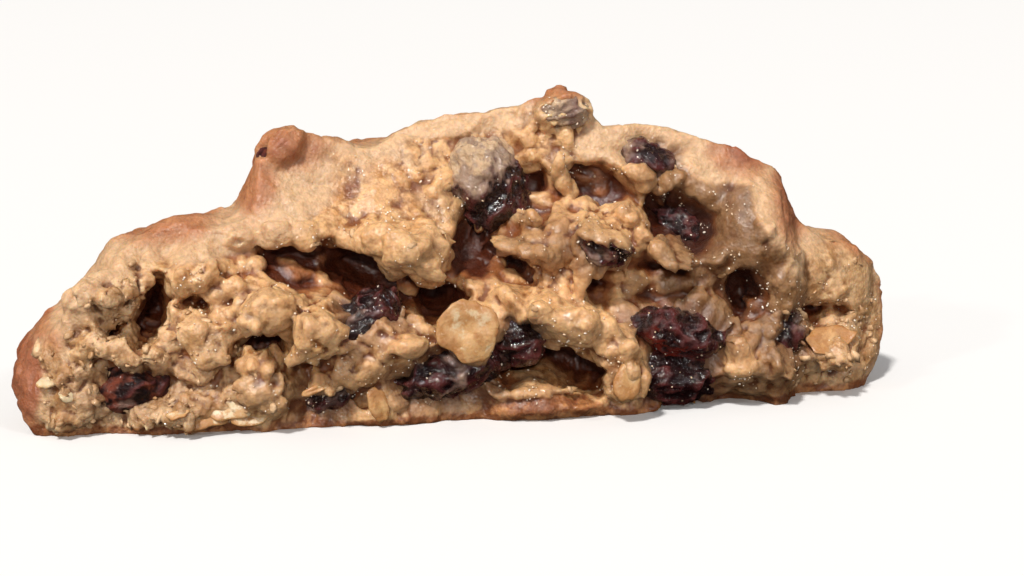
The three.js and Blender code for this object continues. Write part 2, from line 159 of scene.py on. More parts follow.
def domes(points: np.ndarray, size: float, seed: int = 0) -> np.ndarray:
    """Works out round domes packed side by side, with sharp creases between them.

    Args:
        points: one point a row.
        size: from one dome to the next, in millimetres.
        seed: picks other domes.

    Returns:
        From 1 on top of a dome to about 0 in the creases.
    """
    at = points / size
    low = np.floor(at)
    nearest = np.full(len(points), FAR)
    for corner in itertools.product((-1, 0, 1), repeat=3):
        cell = low + corner
        top = cell + np.stack([chance(cell, seed * 3 + k) for k in range(3)], 1)
        nearest = np.minimum(nearest, ((at - top) ** 2).sum(1))
    return 1 - nearest / 0.75


# ------------------------------------------------------------------------------ the cookie's form


@dataclass(frozen=True)
class Lobe:
    """An oval lobe of the unbroken cookie, in the tear's frame."""

    middle: Triple
    half: Triple

    def distance(self, points: np.ndarray) -> np.ndarray:
        """Measures roughly how far points lie outside the lobe.

        Args:
            points: one point a row.

        Returns:
            Millimetres for each point, negative inside.
        """
        offset = points - np.array(self.middle)
        half = np.array(self.half)
        near = np.linalg.norm(offset / half, axis=1)
        steep = np.linalg.norm(offset / half**2, axis=1)
        return near * (near - 1) / np.maximum(steep, 1e-9)


CRUST_LOBES = (
    Lobe((0, 4, 3), (50, 47, 23)),
    Lobe((6, 19, 8), (30, 25, 19.5)),
    Lobe((-43.5, 8, 6.5), (9.2, 11, 7.8)),
    Lobe((-32, 8, 12.6), (13, 12, 11.2)),
    Lobe((-16.5, 12, 19.5), (11, 11, 12.6)),
    Lobe((-20.3, 10, 28.4), (4.6, 5, 5)),
    Lobe((-7, 11, 22), (9, 8, 9.5)),
    Lobe((0, 11, 24.6), (10.5, 10, 10.5)),
    Lobe((9, 10, 24), (9.5, 11, 12.5)),
    Lobe((11.6, 9, 33), (4.4, 4.6, 4.8)),
    Lobe((21.4, 8, 25.2), (8.8, 9, 8.2)),
    Lobe((27.8, 7, 19), (14.2, 12, 12.5)),
    Lobe((34, 7, 24.8), (4.8, 5, 4.8)),
    Lobe((43.6, 11, 8.4), (11.6, 13, 12)),
)


def depth_under_crust(points: np.ndarray) -> np.ndarray:
    """Measures how deep points lie under the crust of the unbroken cookie.

    Args:
        points: one point a row, in the tear's frame.

    Returns:
        Millimetres for each point, negative outside.
    """
    return -np.min([lobe.distance(points) for lobe in CRUST_LOBES], axis=0)


def tear_depth(x: np.ndarray, z: np.ndarray) -> np.ndarray:
    """Measures how far the middle of the torn face lies behind the tear line.

    Args:
        x: places along the tear.
        z: heights.

    Returns:
        Y of the torn face without its lumps and caves.
    """
    slope = 0.36 + 0.2 * np.exp(-(((x + 10) / 14) ** 2))
    lean = 0.08 * z + slope * np.maximum(0, z - 17)
    step = 5 * smoothstep(x, 38, 42)
    ends = 0.02 * np.maximum(0, x - 40) ** 2 + 0.012 * np.maximum(0, -x - 38) ** 2
    return lean + step + ends


@dataclass(frozen=True)
class Patch:
    """An oval patch of the cookie, seen from the tear: its middle and its half sizes."""

    x: float
    z: float
    wide: float
    high: float

    def share(self, points: np.ndarray) -> np.ndarray:
        """Works out how far points belong to the patch, fading out towards the back.

        Args:
            points: one point a row, in the tear's frame.

        Returns:
            From 0 to 1 for each point.
        """
        x, y, z = points.T
        far = np.hypot((x - self.x) / self.wide, (z - self.z) / self.high)
        return (1 - smoothstep(far, 0.4, 1.3)) * (1 - smoothstep(y, 14, 26))


def most_share(patches: tuple[Patch, ...], points: np.ndarray) -> np.ndarray:
    """Works out how far points belong to the patch that holds most of them.

    Args:
        patches: the patches.
        points: one point a row, in the tear's frame.

    Returns:
        From 0 to 1 for each point.
    """
    return np.max([patch.share(points) for patch in patches], axis=0)


SKIN_PATCHES = (  # where the crust reaches round onto the tear
    Patch(-21, 28, 7, 7),
    Patch(-31, 22.3, 11, 3.2),
    Patch(-4, 34.2, 16, 2.6),
    Patch(38.5, 24.5, 5, 6.5),
    Patch(32, 29, 6, 3),
    Patch(18, 31, 5, 2.4),
    Patch(-50.6, 6.5, 3.0, 6.0),
)

SMOOTH_PATCHES = (  # where the torn crumb is drawn out smooth under the crust's edge
    Patch(-13, 27.5, 9, 5.5),
    Patch(-22, 23.0, 6, 3.5),
)

LIT_PALE_PATCHES = (  # lumps that stand out pale and bright: painted light, as less painted shade is laid on them
    Patch(-7.0, 20.5, 6, 3.4),
    Patch(10.5, 12.5, 8, 3.2),
    Patch(32.0, 6.4, 2.6, 3.2),
)

DIM_SHADE_PATCHES = (Patch(9.0, 20.5, 7, 5), Patch(0.5, 20.0, 4, 4))  # painted shade: dimmed crumb

TORN_PATCHES = (Patch(-38.4, 15.6, 4.6, 3.2),)  # where crumb reaches over the crust

SHADE_RECESS_PATCHES = (  # painted shade: dark recesses
    Patch(26.0, 20.8, 5.2, 4.4),
    Patch(-23.0, 17.0, 6.5, 2.6),
    Patch(34.6, 13.6, 2.0, 3.6),
    Patch(1.4, 18.4, 3.8, 3.8),
    Patch(-10.5, 16.0, 6, 3.0),
)

BROWN_PATCHES = (  # where the crust is browned near the tear
    Patch(-20.3, 31.5, 5.5, 3.4),
    Patch(-24.3, 27.5, 3.6, 4.6),
    Patch(-34, 23.4, 7, 2.4),
    Patch(-51.5, 8, 6.0, 8.0),
    Patch(-13.4, 33.4, 4, 1.8),
    Patch(-0.5, 36.6, 5, 2.2),
    Patch(11, 38, 6, 2.4),
    Patch(34.5, 30, 5.5, 3),
    Patch(40, 24, 4, 6),
    Patch(49.5, 17, 5, 3.6),
    Patch(54.5, 9, 3, 5),
)

TOASTED_PATCHES = (  # where it is browned most
    Patch(-51.5, 8, 6.0, 9.0),
    Patch(40.5, 24.5, 3, 4),
    Patch(35, 30.5, 3, 1.6),
)


@dataclass
class Facts:
    """What is known about each point of the dough, from 0 to 1 unless it says otherwise."""

    crust: np.ndarray
    base: np.ndarray  # the browned sole
    dry: np.ndarray  # crumb that is dry, not wet
    calm: np.ndarray  # crumb that is smooth, not lumpy
    behind: np.ndarray  # millimetres behind the middle of the torn face

    @classmethod
    def at(cls, points: np.ndarray) -> "Facts":
        """Works the facts out for points of the dough.

        Args:
            points: one point a row, in the tear's frame.

        Returns:
            The facts, one number a point.
        """
        x, y, z = points.T
        patchy = layered(points, 5.0, 2, 80)
        behind = y - tear_depth(x, z)
        under = depth_under_crust(points)
        crust = 1 - smoothstep(under + 0.35 * patchy, 0.3, 1.7)
        crust = np.maximum(crust, smoothstep(behind, 5.5, 8) * (1 - smoothstep(under, 4, 7)))
        for skin in SKIN_PATCHES:
            crust = np.maximum(crust, smoothstep(skin.share(points) + 0.2 * patchy, 0.3, 0.7))
        for crumb in TORN_PATCHES:
            front = 1 - smoothstep(behind, 2.5, 5)
            crust = crust * (1 - smoothstep(crumb.share(points) + 0.2 * patchy, 0.3, 0.6) * front)
        left = 1 - smoothstep(x + 0.45 * z + 4 * patchy, -33, -19)
        right = 0.5 * smoothstep(x + 2 * patchy, 37, 44)
        bulge = 1 - smoothstep(np.hypot((x - 33) / 9, (z - 21) / 8), 0.5, 1.1)
        lobe = smoothstep(x, 38, 42) * smoothstep(z, 8, 11)
        sole = z + 0.6 * patchy + 0.5 * lumps(points, 1.3, 82)
        sole = sole - 2.0 * np.exp(-(((x - 8.5) / 6.5) ** 4))
        base = 1 - smoothstep(sole, 0.5, 1.6)
        calm = np.max([bulge, lobe, most_share(SMOOTH_PATCHES, points)], axis=0)
        return cls(crust, base, np.maximum(left, right), calm, behind)


# ------------------------------------------------------------------------------ mesh tools


def finished(name: str, mesh: bpy.types.Mesh, material: bpy.types.Material) -> bpy.types.Object:
    """Moves a mesh from the tear's frame to the part's and makes it a piece of the cookie.

    Args:
        name: the piece's name.
        mesh: its mesh, in millimetres.
        material: its finish.

    Returns:
        The piece, riding on the cookie's body.
    """
    mesh.name = name
    mesh.transform(TO_PART)
    mesh.materials.clear()
    mesh.materials.append(material)
    for polygon in mesh.polygons:
        polygon.use_smooth = True
    piece = bpy.data.objects.new(name, mesh)
    bpy.context.scene.collection.objects.link(piece)
    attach(piece, "root")
    log.info("%s: %d faces", name, len(mesh.polygons))
    return piece


def node_copy(node: str) -> bmesh.types.BMesh:
    """Copies a CAD node's mesh, merged, in the tear's frame.

    Args:
        node: the node's name.

    Returns:
        The copy.
    """
    copy = bmesh.new()
    copy.from_mesh(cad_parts[node].data)
    copy.transform(TO_TEAR)
    bmesh.ops.remove_doubles(copy, verts=copy.verts, dist=MERGED)
    return copy


def drawn(shape: bmesh.types.BMesh, name: str = "work") -> bpy.types.Mesh:
    """Makes a mesh of a shape, which isn't freed."""
    mesh = bpy.data.meshes.new(name)
    shape.to_mesh(mesh)
    return mesh


def modified(shape: bmesh.types.BMesh, *modifiers: tuple[str, dict]) -> bpy.types.Mesh:
    """Applies modifiers to a shape and frees it.

    Args:
        shape: the shape to change.
        modifiers: each one's type and settings, in order.

    Returns:
        The changed mesh.
    """
    mesh = drawn(shape)
    shape.free()
    worker = bpy.data.objects.new("work", mesh)
    bpy.context.scene.collection.objects.link(worker)
    for kind, settings in modifiers:
        modifier = worker.modifiers.new(kind, kind)
        for setting, value in settings.items():
            setattr(modifier, setting, value)
    changed = bpy.data.meshes.new_from_object(
        worker.evaluated_get(bpy.context.evaluated_depsgraph_get())
    )
    bpy.data.objects.remove(worker)
    bpy.data.meshes.remove(mesh)
    return changed


def read(items: bpy.types.bpy_prop_collection, name: str, width: int = 3) -> np.ndarray:
    """Reads one property of a mesh's points or faces.

    Args:
        items: the points or faces.
        name: the property's name.
        width: how many numbers it has.

    Returns:
        Its numbers, one row an item.
    """
    flat = np.empty(len(items) * width)
    items.foreach_get(name, flat)
    return flat.reshape(-1, width)


def places_of(mesh: bpy.types.Mesh) -> np.ndarray:
    """Reads a mesh's points, one a row."""
    return read(mesh.vertices, "co")


def normals_of(mesh: bpy.types.Mesh) -> np.ndarray:
    """Reads the way each of a mesh's points faces, one a row."""
    return read(mesh.vertex_normals, "vector")


def set_places(mesh: bpy.types.Mesh, places: np.ndarray) -> None:
    """Moves a mesh's points to new places, one a row."""
    mesh.vertices.foreach_set("co", places.ravel())
    mesh.update()


def paint(mesh: bpy.types.Mesh, name: str, values: np.ndarray) -> None:
    """Stores one number a point, for the finishes to read.

    Args:
        mesh: the mesh.
        name: the attribute's name.
        values: the numbers, in the order of the points.
    """
    layer = mesh.attributes.new(name, "FLOAT", "POINT")
    layer.data.foreach_set("value", values.astype(np.float32))


def counted(mesh: bpy.types.Mesh) -> int:
    """Counts a mesh's triangles."""
    return sum(len(polygon.vertices) - 2 for polygon in mesh.polygons)


def softened(mesh: bpy.types.Mesh, places: np.ndarray, rounds: int) -> np.ndarray:
    """Averages what is held at each point with its neighbours, again and again.

    Args:
        mesh: the mesh whose edges join the neighbours.
        places: one row a point.
        rounds: how many times.

    Returns:
        The averaged rows.
    """
    ends = np.empty(len(mesh.edges) * 2, np.int64)
    mesh.edges.foreach_get("vertices", ends)
    a, b = ends.reshape(-1, 2).T
    both = np.concatenate([a, b])
    other = np.concatenate([b, a])
    count = np.maximum(np.bincount(both, minlength=len(places)), 1)
    soft = places
    for _ in range(rounds):
        sums = [np.bincount(both, soft[other, k], len(places)) for k in range(soft.shape[1])]
        soft = 0.5 * soft + 0.5 * np.stack(sums, 1) / count[:, None]
    return soft


def turn_to(direction: Vector, spin: float) -> Matrix:
    """Makes the turn that points a shape's Z in a direction.

    Args:
        direction: where Z goes.
        spin: a turn about Z before that, in radians.

    Returns:
        The turn.
    """
    return direction.to_track_quat("Z", "Y").to_matrix().to_4x4() @ Matrix.Rotation(spin, 4, "Z")


class Mould:
    """A round shape that is pressed again and again, each time to other places."""

    def __init__(self, fine: int) -> None:
        """Makes the mould.

        Args:
            fine: how finely its ball is divided.
        """
        shape = bmesh.new()
        bmesh.ops.create_icosphere(shape, subdivisions=fine, radius=1)
        self.mesh = drawn(shape, "mould")
        shape.free()
        self.ball = places_of(self.mesh)

    def press(self, shape: bmesh.types.BMesh, poses: list[Matrix], swell: "Swell") -> None:
        """Adds a lump to a shape at each of many poses.

        Args:
            shape: what they are added to.
            poses: where each lump lies, how it is turned and how large it is.
            swell: how far the lumps are from smooth.
        """
        if not poses:
            return
        frames = np.array([list(map(list, pose)) for pose in poses])
        middles = np.repeat(frames[:, :3, 3], len(self.ball), axis=0)
        offsets = np.einsum("nij,kj->nki", frames[:, :3, :3], self.ball).reshape(-1, 3)
        places = middles + offsets * (1 + swell.at(middles + offsets))[:, None]
        for pressed in places.reshape(len(poses), -1, 3):
            self.mesh.vertices.foreach_set("co", pressed.ravel())
            shape.from_mesh(self.mesh)


@dataclass(frozen=True)
class Swell:
    """How uneven lumps are: two noises, each with its size in millimetres and its strength."""

    broad: tuple[float, float]
    fine: tuple[float, float]

    def at(self, places: np.ndarray) -> np.ndarray:
        """Works out how much points move away from their lump's middle, as a share."""
        broad = self.broad[1] * lumps(places, self.broad[0], 70)
        return broad + self.fine[1] * lumps(places, self.fine[0], 71)


@dataclass(frozen=True)
class Spot:
    """A place on a surface, and the way the surface faces there."""

    place: Vector
    facing: Vector


@dataclass(frozen=True)
class Grains:
    """How scattered grains of one kind vary. Most are near the least size."""

    least: float  # millimetres of radius
    most: float
    long: tuple[float, float]  # shares of the radius, as all that follows
    wide: tuple[float, float]
    flat: float
    raised: float
    tilt: float = 0.0  # the most that one leans, in radians

    def pose(self, spot: Spot, draw: random.Random) -> Matrix:
        """Draws how one grain lies at a spot, with its half sizes as its scale."""
        size = self.least + (self.most - self.least) * draw.random() ** 2
        half = (size * draw.uniform(*self.long), size * draw.uniform(*self.wide), size * self.flat, 1)
        turn = turn_to(spot.facing, draw.uniform(0, FULL_TURN))
        if self.tilt:
            turn = turn @ Matrix.Rotation(draw.uniform(-self.tilt, self.tilt), 4, "X")
        middle = spot.place + spot.facing * size * self.raised
        return Matrix.Translation(middle) @ turn @ Matrix.Diagonal(half)


class Surface:
    """The faces of a mesh, for scattering things over them."""

    def __init__(self, mesh: bpy.types.Mesh) -> None:
        """Reads the faces.

        Args:
            mesh: the mesh, in the tear's frame.
        """
        self.tree = BVHTree.FromPolygons(
            [v.co for v in mesh.vertices], [p.vertices for p in mesh.polygons]
        )
        self.middles = read(mesh.polygons, "center")
        self.normals = read(mesh.polygons, "normal")
        self.areas = read(mesh.polygons, "area", 1)[:, 0]
        self.facts = Facts.at(self.middles)

    @classmethod
    def of(cls, piece: bpy.types.Object) -> "Surface":
        """Reads the faces of a finished piece.

        Args:
            piece: the piece.

        Returns:
            Its surface, in the tear's frame.
        """
        work = piece.data.copy()
        work.transform(TO_TEAR)
        surface = cls(work)
        bpy.data.meshes.remove(work)
        return surface

    def scatter(self, weight: np.ndarray, count: int, seed: int, apart: float = 0.0) -> list[Spot]:
        """Draws spots on the faces.

        Args:
            weight: how likely each face is, for each square millimetre.
            count: how many spots to draw.
            seed: of the draw.
            apart: the least distance from one spot to the next, in millimetres.

        Returns:
            The spots, fewer than asked where they would be too close.
        """
        generator = np.random.default_rng(seed)
        odds = self.areas * weight
        picks = generator.choice(len(odds), count, p=odds / odds.sum())
        spots: list[Spot] = []
        grid: dict[tuple[int, int, int], list[Vector]] = {}
        for pick in picks:
            place = Vector(self.middles[pick]) + Vector(generator.uniform(-0.2, 0.2, 3))
            if apart:
                cell = tuple(int(c // apart) for c in place)
                cells = itertools.product(*((c - 1, c, c + 1) for c in cell))
                around = [other for near in cells for other in grid.get(near, [])]
                if any((other - place).length < apart for other in around):
                    continue
                grid.setdefault(cell, []).append(place)
            spots.append(Spot(place, Vector(self.normals[pick])))
        return spots


# ------------------------------------------------------------------------------ finishes


class Finish:
    """A node material that is put together step by step."""

    def __init__(self, name: str) -> None:
        """Starts an empty material with one Principled shader.

        Args:
            name: the material's name.
        """
        self.material = bpy.data.materials.new(name)
        self.material.use_nodes = True
        self.tree = self.material.node_tree
        self.shader = self.tree.nodes["Principled BSDF"]
        self.place = self.tree.nodes.new("ShaderNodeTexCoord").outputs["Object"]

    def node(self, kind: str, **settings: object) -> bpy.types.Node:
        """Adds a node and sets its properties.

        Args:
            kind: the node's type.
            settings: its properties.

        Returns:
            The node.
        """
        made = self.tree.nodes.new(kind)
        for setting, value in settings.items():
            setattr(made, setting, value)
        return made

    def plug(self, value: object, socket: bpy.types.NodeSocket) -> None:
        """Links a socket's value, or sets it where it is a number or a colour."""
        if isinstance(value, bpy.types.NodeSocket):
            self.tree.links.new(value, socket)
        else:
            socket.default_value = value

    def attribute(self, name: str) -> bpy.types.NodeSocket:
        """Reads one of the numbers painted on the mesh."""
        return self.node("ShaderNodeAttribute", attribute_name=name).outputs["Fac"]

    def noise(self, size: float, detail: float = 3.0, rough: float = 0.5) -> bpy.types.NodeSocket:
        """Makes noise with lumps of a size.

        Args:
            size: of the largest lumps, in millimetres.
            detail: how many finer layers.
            rough: how strong the finer layers are.

        Returns:
            The noise, around 0.5.
        """
        made = self.node("ShaderNodeTexNoise")
        self.plug(self.place, made.inputs["Vector"])
        made.inputs["Scale"].default_value = 1 / (size * MM)
        made.inputs["Detail"].default_value = detail
        made.inputs["Roughness"].default_value = rough
        return made.outputs["Fac"]

    def cells(self, size: float) -> bpy.types.NodeSocket:
        """Makes the distance to the nearest of scattered points, `size` millimetres apart."""
        made = self.node("ShaderNodeTexVoronoi")
        self.plug(self.place, made.inputs["Vector"])
        made.inputs["Scale"].default_value = 1 / (size * MM)
        return made.outputs["Distance"]

    def math(self, operation: str, a: object, b: object = 0.0) -> bpy.types.NodeSocket:
        """Works out one sum on two numbers or sockets.

        Args:
            operation: the sum's name.
            a: the first number.
            b: the second.

        Returns:
            The result.
        """
        made = self.node("ShaderNodeMath", operation=operation)
        self.plug(a, made.inputs[0])
        self.plug(b, made.inputs[1])
        return made.outputs[0]

    def remap(
        self, value: object, low: float, high: float, first: object = 0.0, last: object = 1.0
    ) -> bpy.types.NodeSocket:
        """Eases a value between two ends.

        Args:
            value: the value.
            low: where the result is `first`.
            high: where the result is `last`.
            first: the first result.
            last: the last result.

        Returns:
            The result, kept between the two.
        """
        made = self.node("ShaderNodeMapRange", interpolation_type="SMOOTHSTEP")
        self.plug(value, made.inputs["Value"])
        ends = {"From Min": low, "From Max": high, "To Min": first, "To Max": last}
        for socket, end in ends.items():
            self.plug(end, made.inputs[socket])
        return made.outputs["Result"]

    def blend(self, share: object, a: object, b: object) -> bpy.types.NodeSocket:
        """Mixes two colours.

        Args:
            share: how much of the second.
            a: the first colour.
            b: the second.

        Returns:
            The mixed colour.
        """
        made = self.node("ShaderNodeMix", data_type="RGBA")
        self.plug(share, made.inputs["Factor"])
        self.plug(a, made.inputs["A"])
        self.plug(b, made.inputs["B"])
        return made.outputs["Result"]

    def bump(
        self, height: object, depth: float, before: bpy.types.NodeSocket | None = None
    ) -> bpy.types.NodeSocket:
        """Turns a height into a slope of the surface.

        Args:
            height: the height.
            depth: how deep it is, in millimetres.
            before: a slope that this one adds to.

        Returns:
            The slope.
        """
        made = self.node("ShaderNodeBump")
        made.inputs["Strength"].default_value = 1.0
        made.inputs["Distance"].default_value = depth * MM
        self.plug(height, made.inputs["Height"])
        if before is not None:
            self.plug(before, made.inputs["Normal"])
        return made.outputs["Normal"]

    def set(self, **sockets: object) -> None:
        """Plugs values into the shader, with _ in a socket's name for a space."""
        for name, value in sockets.items():
            self.plug(value, self.shader.inputs[name.replace("_", " ")])


@dataclass(frozen=True)
class DoughFinish:
    """Baked oat dough: browned crust, dry crumb at the ends and wet crumb in the middle."""

    name: str = "baked_dough"
    wet: Colour = srgb(184, 130, 78)
    wet_pale: Colour = srgb(220, 174, 124)
    wet_low: Colour = srgb(120, 66, 32)
    grey: Colour = srgb(166, 130, 92)
    # painted shade: the colour of dimmed crumb and of shallow caves
    shade_amber: Colour = srgb(142, 80, 40)
    crumb: Colour = srgb(178, 134, 90)
    crumb_pale: Colour = srgb(216, 178, 136)
    # painted shade: the dry crumb's colour in its hollows
    crumb_hollow_shade: Colour = srgb(118, 70, 38)
    # painted shade: the crumb's colour deep in its caves
    deep: Colour = srgb(78, 30, 13)
    lip: Colour = srgb(212, 174, 134)
    tan: Colour = srgb(196, 156, 120)
    brown: Colour = srgb(180, 122, 84)
    toasted: Colour = srgb(150, 88, 60)
    sole: Colour = srgb(124, 68, 36)
    sole_pale: Colour = srgb(176, 118, 72)
    juice: Colour = srgb(96, 54, 40)
    soft: float = 0.42  # how much light passes through it

    def crumb_colour(self, f: Finish, middling: object) -> bpy.types.NodeSocket:
        """Colours the torn crumb: pale on its lumps and brown in its hollows, which is painted light
        and painted shade, with painted shade in its caves and where it is dimmed.

        Args:
            f: the finish.
            middling: noise, a few millimetres across.

        Returns:
            The colour.
        """
        dry, hollow, cave_shade = f.attribute("dry"), f.attribute("hollow"), f.attribute("cave_shade")
        patch = f.remap(middling, 0.38, 0.62)
        wet = f.blend(patch, self.wet, self.wet_pale)
        wet = f.blend(f.remap(f.noise(6, 4), 0.48, 0.66, 0, 0.75), wet, self.grey)
        wet = f.blend(f.remap(f.noise(3.6, 3), 0.5, 0.68, 0, 0.5), wet, self.wet_low)
        flecks = f.noise(1.1, 4, 0.7)
        wet = f.blend(f.remap(flecks, 0.54, 0.68, 0, 0.4), wet, self.wet_low)
        wet = f.blend(f.remap(flecks, 0.46, 0.34, 0, 0.55), wet, self.crumb_pale)
        # painted shade: darker in the hollows; painted light: paler on the lump tops
        wet = f.blend(f.remap(hollow, 0.48, 0.9, 0, 0.95), wet, self.wet_low)
        wet = f.blend(f.remap(hollow, 0.45, 0.12, 0, 0.6), wet, self.wet_pale)
        crumb = f.blend(patch, self.crumb, self.crumb_pale)
        # painted shade: darker in the dry crumb's hollows
        crumb = f.blend(f.remap(hollow, 0.5, 0.95, 0, 0.9), crumb, self.crumb_hollow_shade)
        mixed = f.blend(dry, wet, crumb)
        mixed = f.blend(f.math("MULTIPLY", f.attribute("juice"), 0.62), mixed, self.juice)
        # painted shade: dims the crumb towards amber
        mixed = f.blend(f.math("MULTIPLY", f.attribute("dim_shade"), 0.42), mixed, self.shade_amber)
        # painted shade: amber in shallow caves, near black in deep ones
        mixed = f.blend(f.remap(cave_shade, 0.0, 0.4, 0, 0.85), mixed, self.shade_amber)
        return f.blend(f.remap(cave_shade, 0.35, 0.95, 0, 0.95), mixed, self.deep)

    def crust_colour(self, f: Finish, broad: object, middling: object) -> bpy.types.NodeSocket:
        """Colours the crust: tan, browned where it stands up and toasted in spots.

        Args:
            f: the finish.
            broad: noise, about a centimetre across.
            middling: noise, a few millimetres across.

        Returns:
            The colour.
        """
        high = f.math("ADD", f.attribute("high"), f.remap(broad, 0.3, 0.7, -0.35, 0.35))
        browned = f.blend(f.remap(high, 0.1, 0.75), self.tan, self.brown)
        spots = f.math("MULTIPLY", f.remap(middling, 0.48, 0.7), f.remap(high, 0.3, 0.9, 0.1, 0.8))
        browned = f.blend(spots, browned, self.toasted)
        browned = f.blend(f.remap(high, 1.0, 1.9, 0, 0.85), browned, self.toasted)
        return f.blend(f.attribute("lip"), browned, self.lip)

    def build(self) -> bpy.types.Material:
        """Makes the material.

        Returns:
            The material, which reads the numbers painted on the dough.
        """
        f = Finish(self.name)
        crust, dry = f.attribute("crust"), f.attribute("dry")
        broad, middling = f.noise(9, 3), f.noise(2.4, 4, 0.6)
        crumb, baked_crust = self.crumb_colour(f, middling), self.crust_colour(f, broad, middling)
        colour = f.blend(crust, crumb, baked_crust)
        sole = f.blend(f.remap(middling, 0.45, 0.65), self.sole, self.sole_pale)
        colour = f.blend(f.remap(f.attribute("base"), 0.2, 0.9, 0, 0.92), colour, sole)
        baked = f.math("MULTIPLY", f.attribute("base"), 0.6)
        dull = f.math("MAXIMUM", f.math("MAXIMUM", crust, dry), baked)
        wet = f.math("SUBTRACT", 1.0, dull)
        # painted shade: darkens the colour by up to half where the crumb is dimmed
        dim_shade = f.remap(f.attribute("dim_shade"), 0.0, 1.0, 1.0, 0.5)
        shade = f.node("ShaderNodeVectorMath", operation="SCALE")
        f.plug(colour, shade.inputs[0])
        speckle = f.remap(f.noise(0.6, 3), 0.3, 0.7, 0.86, 1.12)
        f.plug(f.math("MULTIPLY", speckle, dim_shade), shade.inputs["Scale"])
        grain = f.math("MULTIPLY", f.noise(1.1, 5, 0.6), f.remap(dull, 0, 1, 0.55, 1.0))
        shining = f.remap(f.noise(2.6, 3), 0.4, 0.6, 0.15, 1)
        f.set(
            Base_Color=shade.outputs[0],
            Roughness=f.remap(f.noise(1.8, 3), 0.4, 0.6, 0.34, 0.58),
            Normal=f.bump(f.cells(0.42), 0.06, f.bump(grain, 0.3)),
            Subsurface_Weight=self.soft,
            Subsurface_Radius=(1.0, 0.5, 0.22),
            Subsurface_Scale=0.0018,
            Specular_IOR_Level=0.5,
            Coat_Weight=f.math("MULTIPLY", f.remap(wet, 0, 1, 0.15, 1.0), shining),
            Coat_Roughness=0.06,
            Coat_Normal=f.bump(f.noise(0.5, 2, 0.6), 0.32),
        )
        return f.material


@dataclass(frozen=True)
class OatFinish:
    """A rolled oat, pale where it is bare and as brown as the dough where it is coated."""

    name: str = "rolled_oat"
    bare: Colour = srgb(218, 192, 154)
    pale: Colour = srgb(206, 160, 108)
    tan: Colour = srgb(184, 134, 84)
    coat: Colour = srgb(174, 122, 74)
    baked: Colour = srgb(192, 148, 110)

    def build(self) -> bpy.types.Material:
        """Makes the material, which reads how far each oat is coated and baked."""
        f = Finish(self.name)
        colour = f.blend(f.remap(f.noise(2.4, 4), 0.4, 0.6), self.tan, self.pale)
        patchy = f.remap(f.noise(1.8, 4, 0.6), 0.3, 0.7, -0.6, 0.6)
        patchy = f.math("ADD", f.attribute("coated"), patchy)
        colour = f.blend(f.remap(patchy, 0.0, -0.5), colour, self.bare)
        colour = f.blend(f.remap(patchy, 0.1, 0.9), colour, self.coat)
        colour = f.blend(f.attribute("baked"), colour, self.baked)
        f.set(
            Base_Color=colour,
            Roughness=f.remap(f.noise(1.2, 3), 0.4, 0.6, 0.25, 0.55),
            Normal=f.bump(f.noise(0.6, 4, 0.6), 0.14),
            Subsurface_Weight=0.3,
            Subsurface_Radius=(1.0, 0.6, 0.3),
            Subsurface_Scale=0.0012,
            Coat_Weight=f.remap(f.noise(1.6, 3), 0.45, 0.65, 0.0, 0.8),
            Coat_Roughness=0.08,
            Coat_Normal=f.bump(f.noise(0.4, 2, 0.5), 0.14),
        )
        return f.material


